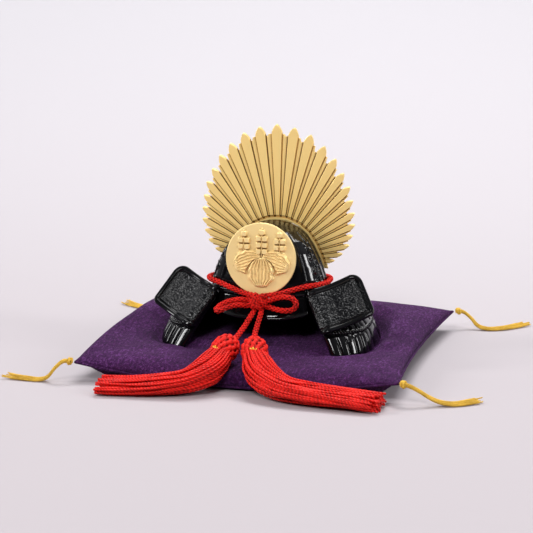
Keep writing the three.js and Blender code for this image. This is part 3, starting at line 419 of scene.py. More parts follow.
def skirt_strands(line, seed):
    """Twisted strands side by side along the lay, packed in an oval, longer and shorter at the ends."""
    random = np.random.default_rng(seed)
    step = np.linalg.norm(line[1] - line[0])
    forward = np.gradient(line, axis=0)
    forward /= np.linalg.norm(forward, axis=1)[:, None]
    across = np.cross(forward, (0, 0, 1.0))
    across /= np.linalg.norm(across, axis=1)[:, None]
    up = np.cross(across, forward)
    share = np.linspace(0, 1, len(line))
    wide = np.interp(share, *zip(*SKIRT_HALF_WIDTH)) - SKIRT_STRAND_RADIUS
    rise = np.interp(share, *zip(*SKIRT_RISE)) - SKIRT_STRAND_RADIUS
    fall = np.interp(share, *zip(*SKIRT_FALL)) - SKIRT_STRAND_RADIUS
    grids, marks = [], []
    for k in range(SKIRT_STRANDS):
        reach = math.sqrt((k + 0.5) / SKIRT_STRANDS)
        angle = k * math.pi * (3 - math.sqrt(5))
        wander = random.normal(0, 1, (2, 3)) * 0.15
        waves = np.array([np.sin(2.4 * share * (1 + j) + k) * share for j in range(3)])
        drift = wander @ waves
        a = reach * np.cos(angle) + drift[0]
        b = reach * np.sin(angle) + drift[1]
        grow = np.hypot(a, b)
        a, b = a / np.maximum(grow, 1), b / np.maximum(grow, 1)
        strand = line + across * (a * wide)[:, None] + up * (b * np.where(b > 0, rise, fall))[:, None]
        first = int(SKIRT_START / step)
        last = int(len(line) * (1 - 0.08 * random.random() ** 1.3))
        strand = strand[first:last]
        strand[:, 2] = np.maximum(strand[:, 2], SKIRT_STRAND_RADIUS + 0.04)
        grids.append(tube(strand, SKIRT_STRAND_RADIUS, SKIRT_STRAND_RADIUS, 6))
        marks.append(np.full(grids[-1].shape[:2], random.random()))
    return grids, marks


for side in ("left", "right"):
    tail, tail_line = braided_cord("cord_tail_" + side + "_braid", TAIL_POINTS[side])
    lay = smooth_route([(x * HALF_SIDE, y * HALF_SIDE, z) for x, y, z in TASSEL_LAY[side]], 1.6)
    head_line = smooth_route(lay, 0.2)[int(HEAD_START / 0.2):int(HEAD_END / 0.2)]
    net, head_core, marks, stitches = netted_head(head_line, HEAD_RADIUS)
    head = mesh_piece("tassel_head_" + side, net, cord_red, marks=marks)
    binding = mesh_piece("tassel_binding_" + side, stitches, thread_yellow)
    binding.parent = head
    core = mesh_piece("tassel_head_" + side + "_core", [head_core], core_shade_red)
    strands, marks = skirt_strands(lay, 7 if side == "left" else 8)
    skirt = mesh_piece("tassel_skirt_" + side, strands, strand_red, marks=marks)
    core.parent = head
    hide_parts("cord_tail_" + side)
    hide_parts("tassel_" + side)

# Cushion: a square pad of purple crepe with a soft filling, sewn along its four edges. The helmet's rim
# has sunk into it, and its corners stay a little above the ground.
HELMET_BASE = 9.8
DENT_REACH = 11
GAP = 0.3
CUSHION_ROWS = 150
CUSHION_CORNER_HEIGHT = 10.0
CUSHION_CROWN = 15.5
CUSHION_FALL = {"power": 2.2, "left": 0.357, "right": 0.389, "depth": 0.485}
CUSHION_PULL = {"left": 0.024, "right": 0.055, "depth": 0.05}
CUSHION_SAG = {"left": -0.43, "right": 0.16, "front": 0.82, "back": 0.2}
DENT_LEVELS = [  # distance outside the rim, then the share of the crown's height: behind, beside and in front
    (-60, 0.42, 0.42, 0.42), (-12, 0.24, 0.24, 0.22), (-2.6, 0.0, 0.0, 0.16), (2.2, 0.0, 0.0, 0.13),
    (5.5, 0.55, 0.13, 0.1), (DENT_REACH, 0.92, 0.24, 0.08),
]
OUTER_LEVELS = [  # share of the way from there to the seam
    (0.0, 0.92, 0.24, 0.08), (0.5, 1.0, 0.45, 0.08), (0.78, 1.0, 0.75, 0.12), (0.93, 1.0, 1.0, 0.4),
    (1.0, 1.0, 1.0, 1.0),
]
NECK_FOOT = {"half": 54.0, "front": 36.0, "back": 50.0, "mid": -4.0, "front_power": 4.0, "back_power": 2.3,
             "end_half": 38.8}
CREPE_PURPLE = (0.05, 0.0085, 0.064, 1)
# The deep colour also serves as painted shade in the hollows of the crepe's ribs.
CREPE_DEEP_AND_SHADE = (0.017, 0.0025, 0.024, 1)
CREPE_LIGHT = (0.12, 0.034, 0.16, 1)


def ease(t):
    t = np.clip(t, 0, 1)
    return t * t * (3 - 2 * t)


def cushion_plan(u, v):
    pull = np.where(u < 0, CUSHION_PULL["left"], CUSHION_PULL["right"])
    return HALF_SIDE * u * (1 - pull * (1 - v * v)), HALF_SIDE * v * (1 - CUSHION_PULL["depth"] * (1 - u * u))


def cushion_seam(u, v):
    side_sag = np.where(u < 0, CUSHION_SAG["left"], CUSHION_SAG["right"])
    depth_sag = np.where(v < 0, CUSHION_SAG["front"], CUSHION_SAG["back"])
    return CUSHION_CORNER_HEIGHT * (1 - side_sag * (1 - v * v) * u * u - depth_sag * (1 - u * u) * v * v)


def cushion_dome(u, v):
    fall = CUSHION_FALL["left"] + (CUSHION_FALL["right"] - CUSHION_FALL["left"]) * (1 + u) / 2
    power = CUSHION_FALL["power"]
    return (np.clip(1 - np.abs(u) ** power, 0, 1) ** fall
            * np.clip(1 - np.abs(v) ** power, 0, 1) ** CUSHION_FALL["depth"])


def foot_distance(x, y):
    """How far a point lies outside the helmet's rim, in millimetres; less than nought inside it."""
    s = NECK_FOOT
    deep = np.where(y < s["mid"], s["front"], s["back"])
    power = np.where(y < s["mid"], s["front_power"], s["back_power"])
    reach = (np.abs(x / s["half"]) ** power + np.abs((y - s["mid"]) / deep) ** power) ** (1 / power)
    return (reach - 1) * np.hypot(x, y - s["mid"]) / np.maximum(reach, 0.05)


def cushion_top(u, v):
    x, y = cushion_plan(u, v)
    crown = cushion_seam(u, v) + CUSHION_CROWN * cushion_dome(u, v)
    floor = HELMET_BASE - GAP
    d = foot_distance(x, y)
    to_seam = (1 - np.maximum(np.abs(u), np.abs(v))) * HALF_SIDE
    outer = np.clip((d - DENT_REACH) / np.maximum(d - DENT_REACH + to_seam, 1e-6), 0, 1)
    levels = []
    for column in (1, 2, 3):
        near = np.interp(d, [row[0] for row in DENT_LEVELS], [row[column] for row in DENT_LEVELS])
        far = np.interp(outer, [row[0] for row in OUTER_LEVELS], [row[column] for row in OUTER_LEVELS])
        levels.append(np.where(d > DENT_REACH, far, near))
    ahead = ease((15 - y) / 50)
    between = ease((NECK_FOOT["end_half"] - 3.5 - np.abs(x)) / 14) * ease((-10 - y) / 24)
    level = levels[0] + (levels[1] - levels[0]) * ahead
    level = level + (levels[2] - level) * between
    return x, y, floor + (crown - floor) * level


def wrinkles(x, y):
    """Soft folds that run out from the corners and from the helmet's rim."""
    u, v = x / HALF_SIDE, y / HALF_SIDE
    corner = np.minimum(1, np.maximum(0, np.minimum(np.abs(u), np.abs(v)) * 1.6 - 0.5))
    turn_at = np.arctan2(HALF_SIDE - np.abs(x), HALF_SIDE - np.abs(y) + 1e-6)
    fade = np.sin(np.pi * np.clip(corner, 0, 1)) ** 0.5
    folds = 0.25 * corner * np.sin(turn_at * 11 + 1.3 * np.sin(9 * u)) * fade
    d = foot_distance(x, y)
    ring = np.exp(-((d - 9) / 7) ** 2)
    angle = np.arctan2(y - NECK_FOOT["mid"], x)
    dent = 0.2 * ring * (np.sin(17 * angle + 2 * np.sin(3 * angle)) + 0.6 * np.sin(29 * angle + 1))
    feet = ease((np.abs(x) - NECK_FOOT["end_half"] + 9) / 8) * ease((-y - 5) / 12)
    crest = feet * (0.95 * np.exp(-((d - 7.5) / 3.6) ** 2) - 0.35 * np.exp(-((d - 1.2) / 1.6) ** 2))
    return folds + dent + crest


def cushion_grids():
    """Top and bottom sheets over one square of shares, closer together towards the seam."""
    even = np.linspace(-1, 1, CUSHION_ROWS)
    closer = np.sin(even * np.pi / 2 * 0.985) / math.sin(np.pi / 2 * 0.985)
    share = 0.55 * closer + 0.45 * even
    u, v = np.meshgrid(share, share, indexing="xy")
    x, y, z = cushion_top(u, v)
    edge = np.maximum(np.abs(u), np.abs(v))
    free = ease((1 - edge) * 9)
    off_foot = np.where(np.abs(foot_distance(x, y)) < 3.2, 0.0, 1.0)
    z = z + wrinkles(x, y) * free * off_foot * (foot_distance(x, y) > 0)
    top = np.stack([x, y, z], 2)
    flat = ease((edge - 0.8) / 0.2)
    seam = cushion_seam(u, v)
    low = 0.04 + (seam - 0.04) * flat ** 1.25
    bottom = np.stack([x, y, low], 2)
    return top, bottom


def crepe(name):
    """Silk crepe: short irregular ribs across the cloth, a soft sheen, and painted shade that darkens the
    hollows between the ribs.
    """
    material, tree, shader = new_finish(
        name, Roughness=0.85, Specular_IOR_Level=0.1,
        Sheen_Weight=0.08, Sheen_Roughness=0.5, Sheen_Tint=(0.6, 0.42, 0.72, 1))
    place = object_place(tree)
    stretched = add_node(tree, "Mapping", Vector=place, Scale=(1.0, 0.42, 1.0)).outputs["Vector"]
    ribs = noise(tree, stretched, 900.0, 5.0, 0.75)
    grain = add_node(tree, "TexVoronoi", Vector=place, Scale=2200.0).outputs["Distance"]
    slow = calc(tree, "MULTIPLY", noise(tree, place, 55.0, 4.0), 0.35)
    # The colour follows the rib noise that also makes the bump: painted shade in the hollows between the ribs
    # and painted light on their crests, over a slow random change of tone.
    both = calc(tree, "MULTIPLY_ADD", ribs, 1.3, slow)
    color = color_steps(tree, both, [(0.6, CREPE_DEEP_AND_SHADE), (0.88, CREPE_PURPLE), (1.0, CREPE_LIGHT)])
    tree.links.new(color, shader.inputs["Base Color"])
    add_bump(tree, shader, 1.0, 0.0009, calc(tree, "MULTIPLY_ADD", grain, 0.4, ribs))
    return material


purple_crepe = crepe("purple_crepe")
cushion_top_grid, cushion_low_grid = cushion_grids()
cushion = mesh_piece("cushion_cover", [cushion_top_grid, cushion_low_grid[:, ::-1]], purple_crepe, wrap=False,
                     merge=0.02)
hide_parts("cushion")

# Seam: the two sheets are sewn right sides together, so the edge shows as a thin creased roll.
seam_lines = []
for axis, sign in (("x", -1), ("y", 1), ("x", 1), ("y", -1)):
    t = np.linspace(-1, 1, 90)
    u, v = (np.full_like(t, sign), t) if axis == "x" else (t, np.full_like(t, sign))
    x, y = cushion_plan(u, v)
    seam_lines.append(np.stack([x, y, cushion_seam(u, v)], 1))
seam = mesh_piece("cushion_seam", [tube(line, 0.6, 0.45, 8) for line in seam_lines], purple_crepe)

# Corner tassels: a small knot of twisted yellow-gold thread at each corner of the cushion, with a few
# loose threads that lie on the ground and open a little at their ends.
CORNER_TASSELS = {
    "front_left": ((-1, -1), [(-0.2, -0.2, 10.2), (-5, -2.2, 10.8), (-9, -2.6, 7.6), (-13.5, -3, 2.4),
                              (-18, -3, 1.0), (-24, -2.4, 1.0), (-31, -1.4, 1.1), (-37, -0.4, 1.6)]),
    "front_right": ((1, -1), [(0.2, -0.2, 10.2), (5, -1.6, 9.8), (9.5, -0.8, 7.6), (14, 0.4, 4.6),
                              (19, 1.8, 2.2), (25, 4, 1.1), (31.5, 9, 1.1), (37.5, 14.6, 1.6)]),
    "back_right": ((1, 1), [(0.2, 0.2, 10.2), (5, 2.6, 9.6), (9.5, 3, 6.2), (13.5, 2, 2.4), (19, 1.6, 1.1),
                            (26, 5, 1.1), (33, 13, 1.1), (38.5, 21, 1.3)]),
    "back_left": ((-1, 1), [(-0.2, 0.2, 10.2), (-5, 2.6, 9.8), (-9.5, 3.4, 6.4), (-13.5, 4, 2.4),
                            (-19, 5.4, 1.1), (-25, 8.4, 1.1), (-31, 12.6, 1.1), (-36, 17.4, 1.4)]),
}
CORNER_THREADS = 12
CORNER_KNOT_SHARE = 0.055
CORNER_KNOT_RADIUS = 1.35
THREAD_RADIUS = 0.36
THREAD_PITCH = 1.5
gold_thread = rayon("gold_thread", (0.78, 0.5, 0.07, 1), (0.4, 0.2, 0.015, 1), fibre_turns=40.0)


def twisted_thread(line, radius, pitch, sides=4):
    """Two plies twisted round each other along a line."""
    along = np.arange(len(line)) * np.linalg.norm(line[1] - line[0])
    across, over = carried_frames(line)
    grids = []
    for ply in (0, math.pi):
        out = across * np.cos(2 * np.pi * along / pitch + ply)[:, None]
        out = out + over * np.sin(2 * np.pi * along / pitch + ply)[:, None]
        grids.append(tube(line + out * radius * 0.5, radius * 0.58, radius * 0.55, sides, normal=out))
    return grids


for order, (corner, (signs, offsets)) in enumerate(CORNER_TASSELS.items()):
    random = np.random.default_rng(20 + order)
    start = np.array([signs[0] * HALF_SIDE, signs[1] * HALF_SIDE, 0])
    lay = smooth_route([start + np.array(p) for p in offsets], 0.3)
    share = np.linspace(0, 1, len(lay))
    forward = np.gradient(lay, axis=0)
    forward /= np.linalg.norm(forward, axis=1)[:, None]
    across = np.cross(forward, (0, 0, 1.0))
    across /= np.linalg.norm(across, axis=1)[:, None]
    threads = []
    for k in range(CORNER_THREADS):
        angle = 2 * math.pi * k / CORNER_THREADS
        spread = 0.5 + 1.9 * ease(share * 1.25) + 0.8 * share ** 3
        swing = math.cos(angle) * spread + 0.25 * np.sin(5 * share + k) * share
        rise = math.sin(angle) * 0.8
        thread = lay + across * swing[:, None]
        thread[:, 2] = np.maximum(thread[:, 2] + rise, THREAD_RADIUS + 0.05)
        cut = int(len(lay) * (1 - 0.12 * random.random()))
        threads += twisted_thread(thread[4:cut], THREAD_RADIUS, THREAD_PITCH)
    at_knot = int(len(lay) * CORNER_KNOT_SHARE)
    knot_at, turn_axis, side_axis = lay[at_knot], forward[at_knot], across[at_knot]
    top_axis = np.cross(side_axis, turn_axis)
    for tilt in (-0.5, 0.5, 0.05):
        t = np.linspace(0, 2 * np.pi * 0.98, 60)
        ring = knot_at + (CORNER_KNOT_RADIUS * np.cos(t))[:, None] * side_axis
        ring = ring + (CORNER_KNOT_RADIUS * np.sin(t))[:, None] * top_axis
        ring = ring + (tilt * 1.6 * np.cos(t + tilt) + (0.6 if tilt == 0.05 else 0))[:, None] * turn_axis
        threads += twisted_thread(ring, 0.62, 1.8)
    tassel = mesh_piece("corner_threads_" + corner, threads, gold_thread)
    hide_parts("corner_tassel_" + corner)

# Neck guard: a flared skirt cast in one piece and lacquered black. Under a plain collar come two lames,
# each with a twisted rope row on top and rounded upright ribs below.
RIM_Z = 37.0
NECK_HEIGHT = 26.9
NECK_WALL = 1.5
NECK_RIBS = 38
NECK_FLARE_POWER = 2.1
BOWL_WIDTH = 58.0
BOWL_FRONT = 15.5
BOWL_BACK = 35.0
BOWL_RISE = 34.0
BOWL_MID_Y = -13.0
NECK_LAMES = [(0.235, 0.59), (0.625, 1.0)]
NECK_ROPES = [0.2, 0.6]
NECK_ROPE_RADIUS = 1.05
NECK_ROPE_PITCH = 3.0
NECK_TOP_END_HALF = 24.0
NECK_COLUMNS_A_RIB = 14
LACQUER_BLACK = (0.002, 0.002, 0.0025, 1)
FRONT_POWER = 2.4
BACK_POWER = 2.1


def plan_point(angle, half, front, back, mid_y, front_power, back_power):
    c, s = np.cos(angle), np.sin(angle)
    power = np.where(s < 0, front_power, back_power)
    x = half * np.sign(c) * np.abs(c) ** (2 / power)
    y = mid_y + np.where(s < 0, front, back) * np.sign(s) * np.abs(s) ** (2 / power)
    return x, y


def neck_point(drop, share, inset):
    """A place on the neck guard: drop from its top to its foot, share from the right end to the left."""
    mix = lambda a, b: a + (b - a) * drop
    flare = 1 - (1 - drop) ** NECK_FLARE_POWER
    half = BOWL_WIDTH / 2 + 0.9 + (NECK_FOOT["half"] - BOWL_WIDTH / 2 - 0.9) * flare
    front = BOWL_FRONT + 0.4 + (NECK_FOOT["front"] - BOWL_FRONT - 0.4) * drop ** 1.1
    back = BOWL_BACK + 0.4 + (NECK_FOOT["back"] - BOWL_BACK - 0.4) * flare
    mid_y = mix(BOWL_MID_Y, NECK_FOOT["mid"])
    front_power = mix(FRONT_POWER, NECK_FOOT["front_power"])
    back_power = mix(BACK_POWER, NECK_FOOT["back_power"])
    end_half = mix(NECK_TOP_END_HALF, NECK_FOOT["end_half"])
    end_angle = np.arccos((end_half / half) ** (front_power / 2))
    angle = -end_angle + (np.pi + 2 * end_angle) * share
    x, y = plan_point(angle, half - inset, front - inset, back - inset, mid_y, front_power, back_power)
    return np.stack(np.broadcast_arrays(x, y, HELMET_BASE + NECK_HEIGHT * (1 - drop)), -1)


def lacquer(name, roughness):
    """Black lacquer over cast metal: almost a mirror, with a faint orange-peel and dust-fine grain."""
    material, tree, shader = new_finish(name, Base_Color=LACQUER_BLACK, Specular_IOR_Level=0.42)
    place = object_place(tree)
    cloudy = noise(tree, place, 90.0, 5.0)
    rough = add_node(tree, "MapRange", Value=cloudy, From_Min=0.3, From_Max=0.7, To_Min=roughness * 0.7,
                     To_Max=roughness * 1.5).outputs["Result"]
    tree.links.new(rough, shader.inputs["Roughness"])
    add_bump(tree, shader, 0.16, 0.0003, noise(tree, place, 420.0, 3.0))
    return material


black_lacquer = lacquer("black_lacquer", 0.1)
neck_shares = np.linspace(0, 1, NECK_RIBS * NECK_COLUMNS_A_RIB + 1)
neck_eased = neck_shares + 0.055 * np.sin(2 * np.pi * neck_shares) - 0.015 * np.sin(4 * np.pi * neck_shares)
neck_drops = np.concatenate([
    np.linspace(0, 0.19, 5), np.linspace(0.2, 0.235, 6), np.linspace(0.245, 0.575, 13),
    np.linspace(0.585, 0.625, 6), np.linspace(0.635, 0.985, 14), [0.995, 1.0],
])


def neck_relief(drop, share):
    """How far the casting stands proud: slats with narrow grooves, rounded at both ends, and smooth rows."""
    phase = share * NECK_RIBS % 1
    slat = 1.0 * (1 - np.abs(2 * phase - 1) ** 4)
    height = np.zeros(np.broadcast(drop, share).shape)
    for low, high in NECK_LAMES:
        place = (drop - low) / (high - low)
        ends = np.clip(1 - np.abs(2 * place - 1) ** 18, 0, 1) ** 0.5
        height = np.where((drop >= low) & (drop <= high), slat * ends + 0.1, height)
    return height


neck_outside, neck_inside = [], []
for drop in neck_drops:
    relief = neck_relief(drop, neck_shares)
    neck_outside.append(neck_point(drop, neck_eased, -relief * min(1, drop * 6)))
for drop in neck_drops[::-1]:
    neck_inside.append(neck_point(drop, neck_eased, NECK_WALL))
neck_grid = np.stack(neck_outside + neck_inside, 1)
neck_rows = len(neck_drops)
neck_ends = [np.stack([neck_grid[k][:neck_rows], neck_grid[k][::-1][:neck_rows]], 1) for k in (0, -1)]
neck = mesh_piece("neck_guard_casting", [neck_grid], black_lacquer)
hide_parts("neck_guard")
neck_end_caps = mesh_piece("neck_guard_ends", neck_ends, black_lacquer, wrap=False)
ropes = []
for drop in NECK_ROPES:
    line = neck_point(drop, np.linspace(0.002, 0.998, 700), -0.35)
    line = smooth_route(line[::6], 0.4)
    ropes += twisted_thread(line, NECK_ROPE_RADIUS, NECK_ROPE_PITCH, sides=6)
neck_ropes = mesh_piece("neck_guard_ropes", ropes, black_lacquer)

# Bowl: one hollow casting in black lacquer. Ribs run up it and meet near the top; a smooth front panel
# stands behind the disc, and beside it are a row of bosses and a band of small framed beads.
BOWL_SHARES = np.array([
    # rise, half, front, back, shift
    (0.0, 1.0, 1.0, 1.0, 0.0), (0.206, 0.962, 0.955, 0.985, 0.0), (0.412, 0.879, 0.852, 0.943, 0.0),
    (0.606, 0.769, 0.72, 0.86, 0.02), (0.765, 0.63, 0.76, 0.64, 0.13), (0.882, 0.46, 0.65, 0.44, 0.22),
    (0.965, 0.26, 0.42, 0.24, 0.28), (0.99, 0.13, 0.22, 0.12, 0.3), (1.0, 0.0, 0.0, 0.0, 0.31),
])
BOWL_RIBS_DEG = [-43, -12, 2, 15, 32, 47, 62, 78]
BOWL_RIB_HEIGHT = 0.6
BOWL_RIB_HALF_WIDTH = 0.85
BOSSES = [(-19.5, 0.17, 2.3), (-19.5, 0.35, 2.2), (-19.5, 0.53, 2.0), (-19.5, 0.69, 1.7)]
BOSS_HEIGHT = 1.1
BOWL_WALL = 1.6
BOWL_RIM_BAND = 0.068
BOWL_RIM_HEIGHT = 0.7
BEADS = [(-5.0, 0.1 + 0.078 * k, 1.3 - 0.04 * k, 1.2) for k in range(9)]


def bowl_share(column, rise):
    return np.interp(rise, BOWL_SHARES[:, 0], BOWL_SHARES[:, column])


def bowl_mid_y(rise):
    return BOWL_MID_Y + BOWL_BACK * bowl_share(4, rise)


def bowl_point(rise, angle, inset):
    half = BOWL_WIDTH / 2 * bowl_share(1, rise)
    front = BOWL_FRONT * bowl_share(2, rise)
    back = BOWL_BACK * bowl_share(3, rise)
    x, y = plan_point(angle, half - inset, front - inset, back - inset, bowl_mid_y(rise),
                      FRONT_POWER, BACK_POWER)
    return np.stack(np.broadcast_arrays(x, y, RIM_Z + BOWL_RISE * rise), -1)


def bowl_relief(rise, angle, base):
    """Height of the cast relief at each place, from distances measured over the surface in millimetres."""
    degrees = np.degrees(angle) % 360
    degrees = np.where(degrees > 180, degrees - 360, degrees)
    mirrored = np.where(np.abs(degrees) > 90, np.sign(degrees + 1e-9) * 180 - degrees, degrees)
    girth = np.maximum(np.hypot(base[..., 0], base[..., 1] - bowl_mid_y(rise)), 0.5)
    degree_mm = math.pi / 180 * girth
    rise_mm = BOWL_RISE * 1.05
    height = np.zeros(base.shape[:2])
    fade = ease((1.02 - rise) / 0.3)
    for rib in BOWL_RIBS_DEG:
        off = np.abs(mirrored - rib) * degree_mm
        flat = ease((BOWL_RIB_HALF_WIDTH + 0.35 - off) / 0.5)
        groove = 0.22 * np.exp(-(off / 0.22) ** 2) * (rib > 10)
        height = np.maximum(height, (BOWL_RIB_HEIGHT * flat - groove) * fade)
    for deg, at, size in BOSSES:
        off = np.hypot((mirrored - deg) * degree_mm, (rise - at) * rise_mm)
        height = np.maximum(height, BOSS_HEIGHT * ease((size - off) / BOSS_HEIGHT))
    for deg, at, wide, tall in BEADS:
        reach = np.hypot((mirrored - deg) * degree_mm / wide, (rise - at) * rise_mm / tall)
        frame_line = np.exp(-((reach - 0.92) / 0.16) ** 2)
        bead = ease((0.85 - reach) / 0.5)
        height = np.maximum(height, 0.3 * frame_line + 0.85 * bead)
    return np.where(rise < BOWL_RIM_BAND, BOWL_RIM_HEIGHT, height)


bowl_angles = np.linspace(-np.pi / 2, 1.5 * np.pi, 481)[:-1]
bowl_rises = np.concatenate([
    [0, 0.004, 0.03, 0.06, 0.066, 0.074], np.linspace(0.085, 0.9, 60), np.linspace(0.91, 0.998, 16),
])
bowl_base = np.stack([bowl_point(rise, bowl_angles, 0) for rise in bowl_rises])
relief = bowl_relief(bowl_rises[:, None], bowl_angles[None, :], bowl_base)
relief[0] -= 0.25
bowl_outside = np.stack([bowl_point(rise, bowl_angles, -relief[i]) for i, rise in enumerate(bowl_rises)])
bowl_inside = np.stack([bowl_point(rise, bowl_angles, BOWL_WALL) for rise in np.linspace(0.95, 0, 16)])
outer_top = np.broadcast_to((0, bowl_mid_y(1.0), RIM_Z + BOWL_RISE), (1, len(bowl_angles), 3))
bowl_grid = np.concatenate([outer_top - (0, 0, BOWL_WALL), bowl_inside, bowl_outside, outer_top])
bowl = mesh_piece("bowl_casting", [bowl_grid], black_lacquer)
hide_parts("bowl")

# Visor: a short plain brim cast in black, with a rolled lower lip; it sits under the bowl's front rim.
VISOR_DROP = 11.6
VISOR_SPREAD = math.radians(48)
VISOR_LIP_START = 0.86
VISOR_LIP = 0.5
visor_angles = -np.pi / 2 + VISOR_SPREAD * np.linspace(-1, 1, 120)


def visor_point(angle, drop, inset):
    flare = 3.0 * drop
    x, y = plan_point(angle, BOWL_WIDTH / 2 + 0.35 * flare - inset, BOWL_FRONT + flare - inset, BOWL_BACK,
                      BOWL_MID_Y, FRONT_POWER, BACK_POWER)
    side = (np.abs(angle + np.pi / 2) / VISOR_SPREAD) ** 2
    return np.stack(np.broadcast_arrays(x, y, RIM_Z - GAP - VISOR_DROP * drop * (1 - 0.22 * side)), -1)


def closed_ends(grid):
    """The grid with its first and last rings each drawn to a point."""
    first, last = grid[:1].mean(1, keepdims=True), grid[-1:].mean(1, keepdims=True)
    return np.concatenate([np.repeat(first, grid.shape[1], 1), grid, np.repeat(last, grid.shape[1], 1)])


visor_rows = [visor_point(visor_angles, d, 0) for d in np.linspace(0, VISOR_LIP_START, 10)]
for d in np.linspace(0.87, 1, 8):
    lip = VISOR_LIP * math.sin(math.pi * (d - VISOR_LIP_START) / (1 - VISOR_LIP_START))
    visor_rows.append(visor_point(visor_angles, d, -lip))
visor_rows += [visor_point(visor_angles, d, 1.5) for d in np.linspace(1, 0, 10)]
visor = mesh_piece("visor_brim", [closed_ends(np.stack(visor_rows, 1))], black_lacquer)
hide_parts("visor")

# Wings: the ends of the neck guard turned outwards, cast with a leather grain inside a smooth raised rim.
# The inner side rolls back into the neck guard's front end; the outer corners are rounded.
WING_WIDTH = 28.0
WING_FACE_WIDTH = 29.2
WING_ROLL = 5.0
WING_ROLL_LENGTH = 9.0
WING_BULGE = 2.6
WING_THICKNESS = 1.5
WING_RIM = 2.0
WING_HEIGHT = 25.0
WING_TOP_CORNER = 6.5
WING_BOTTOM_CORNER = 3.0
GRAIN_SIZE = 1.1
GRAIN_HEIGHT = 0.24
wing_sweep, wing_rise = math.radians(29), math.radians(20.5)
wing_out = np.array([math.cos(wing_sweep) * math.cos(wing_rise), math.sin(wing_sweep) * math.cos(wing_rise),
                     math.sin(wing_rise)])


def wing_point(along, down):
    """A place on the right wing's face: along from its root, at minus one, to its outer edge, at one."""
    drop = 0.03 + (0.6 - 0.03) * down
    edge = np.stack([neck_point(d, 0.0, NECK_WALL / 2) for d in np.atleast_1d(drop)])
    root = edge + np.array([0, -(GAP + 0.15 + 0.45), 0])
    top = neck_point(0.03, 0.0, NECK_WALL / 2) + np.array([-1.3, -4.2, 3.8])
    bottom = neck_point(0.6, 0.0, NECK_WALL / 2) + np.array([1.8, -8.2, 0.6])
    inner = top + (bottom - top) * down[:, None]
    face = np.cross(wing_out, bottom - top)
    face /= np.linalg.norm(face)
    if along < 0:
        t = -along
        knee = inner - 2 * wing_out
        start = inner + WING_ROLL * wing_out
        return (1 - t) ** 2 * start + 2 * t * (1 - t) * knee + t * t * root
    bulge = WING_BULGE * (0.8 - (1.5 * along - 0.75) ** 2 - 0.24 * (1 - ease(along * 3)))
    return inner + (WING_ROLL + (WING_FACE_WIDTH - WING_ROLL) * along) * wing_out + bulge * face


def wing_grid():
    spans = [np.linspace(-1, 0, 34)[:-1], np.linspace(0, 0.8, 88)[:-1], np.linspace(0.8, 1, 36)]
    alongs = np.concatenate(spans)
    downs = np.linspace(0, 1, 104)
    plain = np.zeros((len(alongs), len(downs), 3))
    edge_gap = np.zeros((len(alongs), len(downs)))
    for i, along in enumerate(alongs):
        trims = []
        for corner in (WING_TOP_CORNER, WING_BOTTOM_CORNER):
            into = np.clip(1 - (1 - along) * WING_WIDTH / corner, 0, 1)
            trims.append(corner / WING_HEIGHT * (1 - math.sqrt(1 - into ** 2)))
        down = trims[0] + (1 - trims[0] - trims[1]) * downs
        plain[i] = wing_point(along, down)
        sides = np.minimum(down, 1 - down) * WING_HEIGHT
        outer = (1 - along) * WING_WIDTH if along > 0 else 99.0
        radius = np.where(down < 0.5, WING_TOP_CORNER, WING_BOTTOM_CORNER)
        near = np.minimum(sides, outer)
        both = (sides < radius) & (outer < radius)
        rounded = radius - np.hypot(np.maximum(radius - sides, 0), np.maximum(radius - outer, 0))
        edge_gap[i] = np.where(both, rounded, near)
    normal = np.cross(np.gradient(plain, axis=0), np.gradient(plain, axis=1))
    normal = normal / np.maximum(np.linalg.norm(normal, axis=2, keepdims=True), 1e-9)
    normal[-1] = normal[-2]
    return alongs, plain, normal, edge_gap


def lift_wing(edge_gap, alongs):
    """Rounded edge, smooth raised rim, and the fine groove that runs inside it."""
    off_root = ease((alongs[:, None] + 0.6) * 2)
    rim = 0.5 * ease((WING_RIM + 0.45 - edge_gap) / 0.6) * off_root
    groove = -0.4 * np.exp(-((edge_gap - WING_RIM - 0.8) / 0.35) ** 2) * off_root
    rounded = -0.75 * (1 - np.sqrt(np.clip(1 - (1 - np.clip(edge_gap / 0.75, 0, 1)) ** 2, 0, 1)))
    return rim + groove + rounded


def pebbles(a, b, size, seed):
    """Height of a leather grain at places a and b in millimetres: rounded pebbles with creases between."""
    jitter = np.random.default_rng(seed).random((64, 64, 2))
    i, j = np.floor(a / size).astype(int), np.floor(b / size).astype(int)
    first, second = np.full(a.shape, 9.0), np.full(a.shape, 9.0)
    for di in (-1, 0, 1):
        for dj in (-1, 0, 1):
            spot = jitter[(i + di) % 64, (j + dj) % 64]
            off = np.hypot(i + di + spot[..., 0] - a / size, j + dj + spot[..., 1] - b / size)
            second = np.minimum(second, np.maximum(first, off))
            first = np.minimum(first, off)
    return np.sqrt(np.clip((second - first) * 1.6, 0, 1))


def grained_black(name):
    """Cast leather grain under satin black paint: a fine grain over the pebbles, smoother on the rim."""
    material, tree, shader = new_finish(name, Base_Color=LACQUER_BLACK, Roughness=0.1, Specular_IOR_Level=0.3)
    place = object_place(tree)
    warp = add_node(tree, "TexNoise", Vector=place, Scale=500.0, Detail=2.0).outputs["Color"]
    bent = add_node(tree, "VectorMath", {"operation": "MULTIPLY_ADD"}, i0=warp, i1=(0.0012, 0.0012, 0.0012),
                    i2=place).outputs["Vector"]
    cells = add_node(tree, "TexVoronoi", {"feature": "DISTANCE_TO_EDGE"}, Vector=bent, Scale=1050.0)
    pebble = add_node(tree, "MapRange", Value=cells.outputs["Distance"], From_Min=0.0, From_Max=0.3)
    height = calc(tree, "MULTIPLY_ADD", noise(tree, place, 2600.0, 3.0), 0.25, pebble.outputs["Result"])
    add_bump(tree, shader, 0.5, 0.0001, calc(tree, "MULTIPLY", height, mark_value(tree)))
    return material


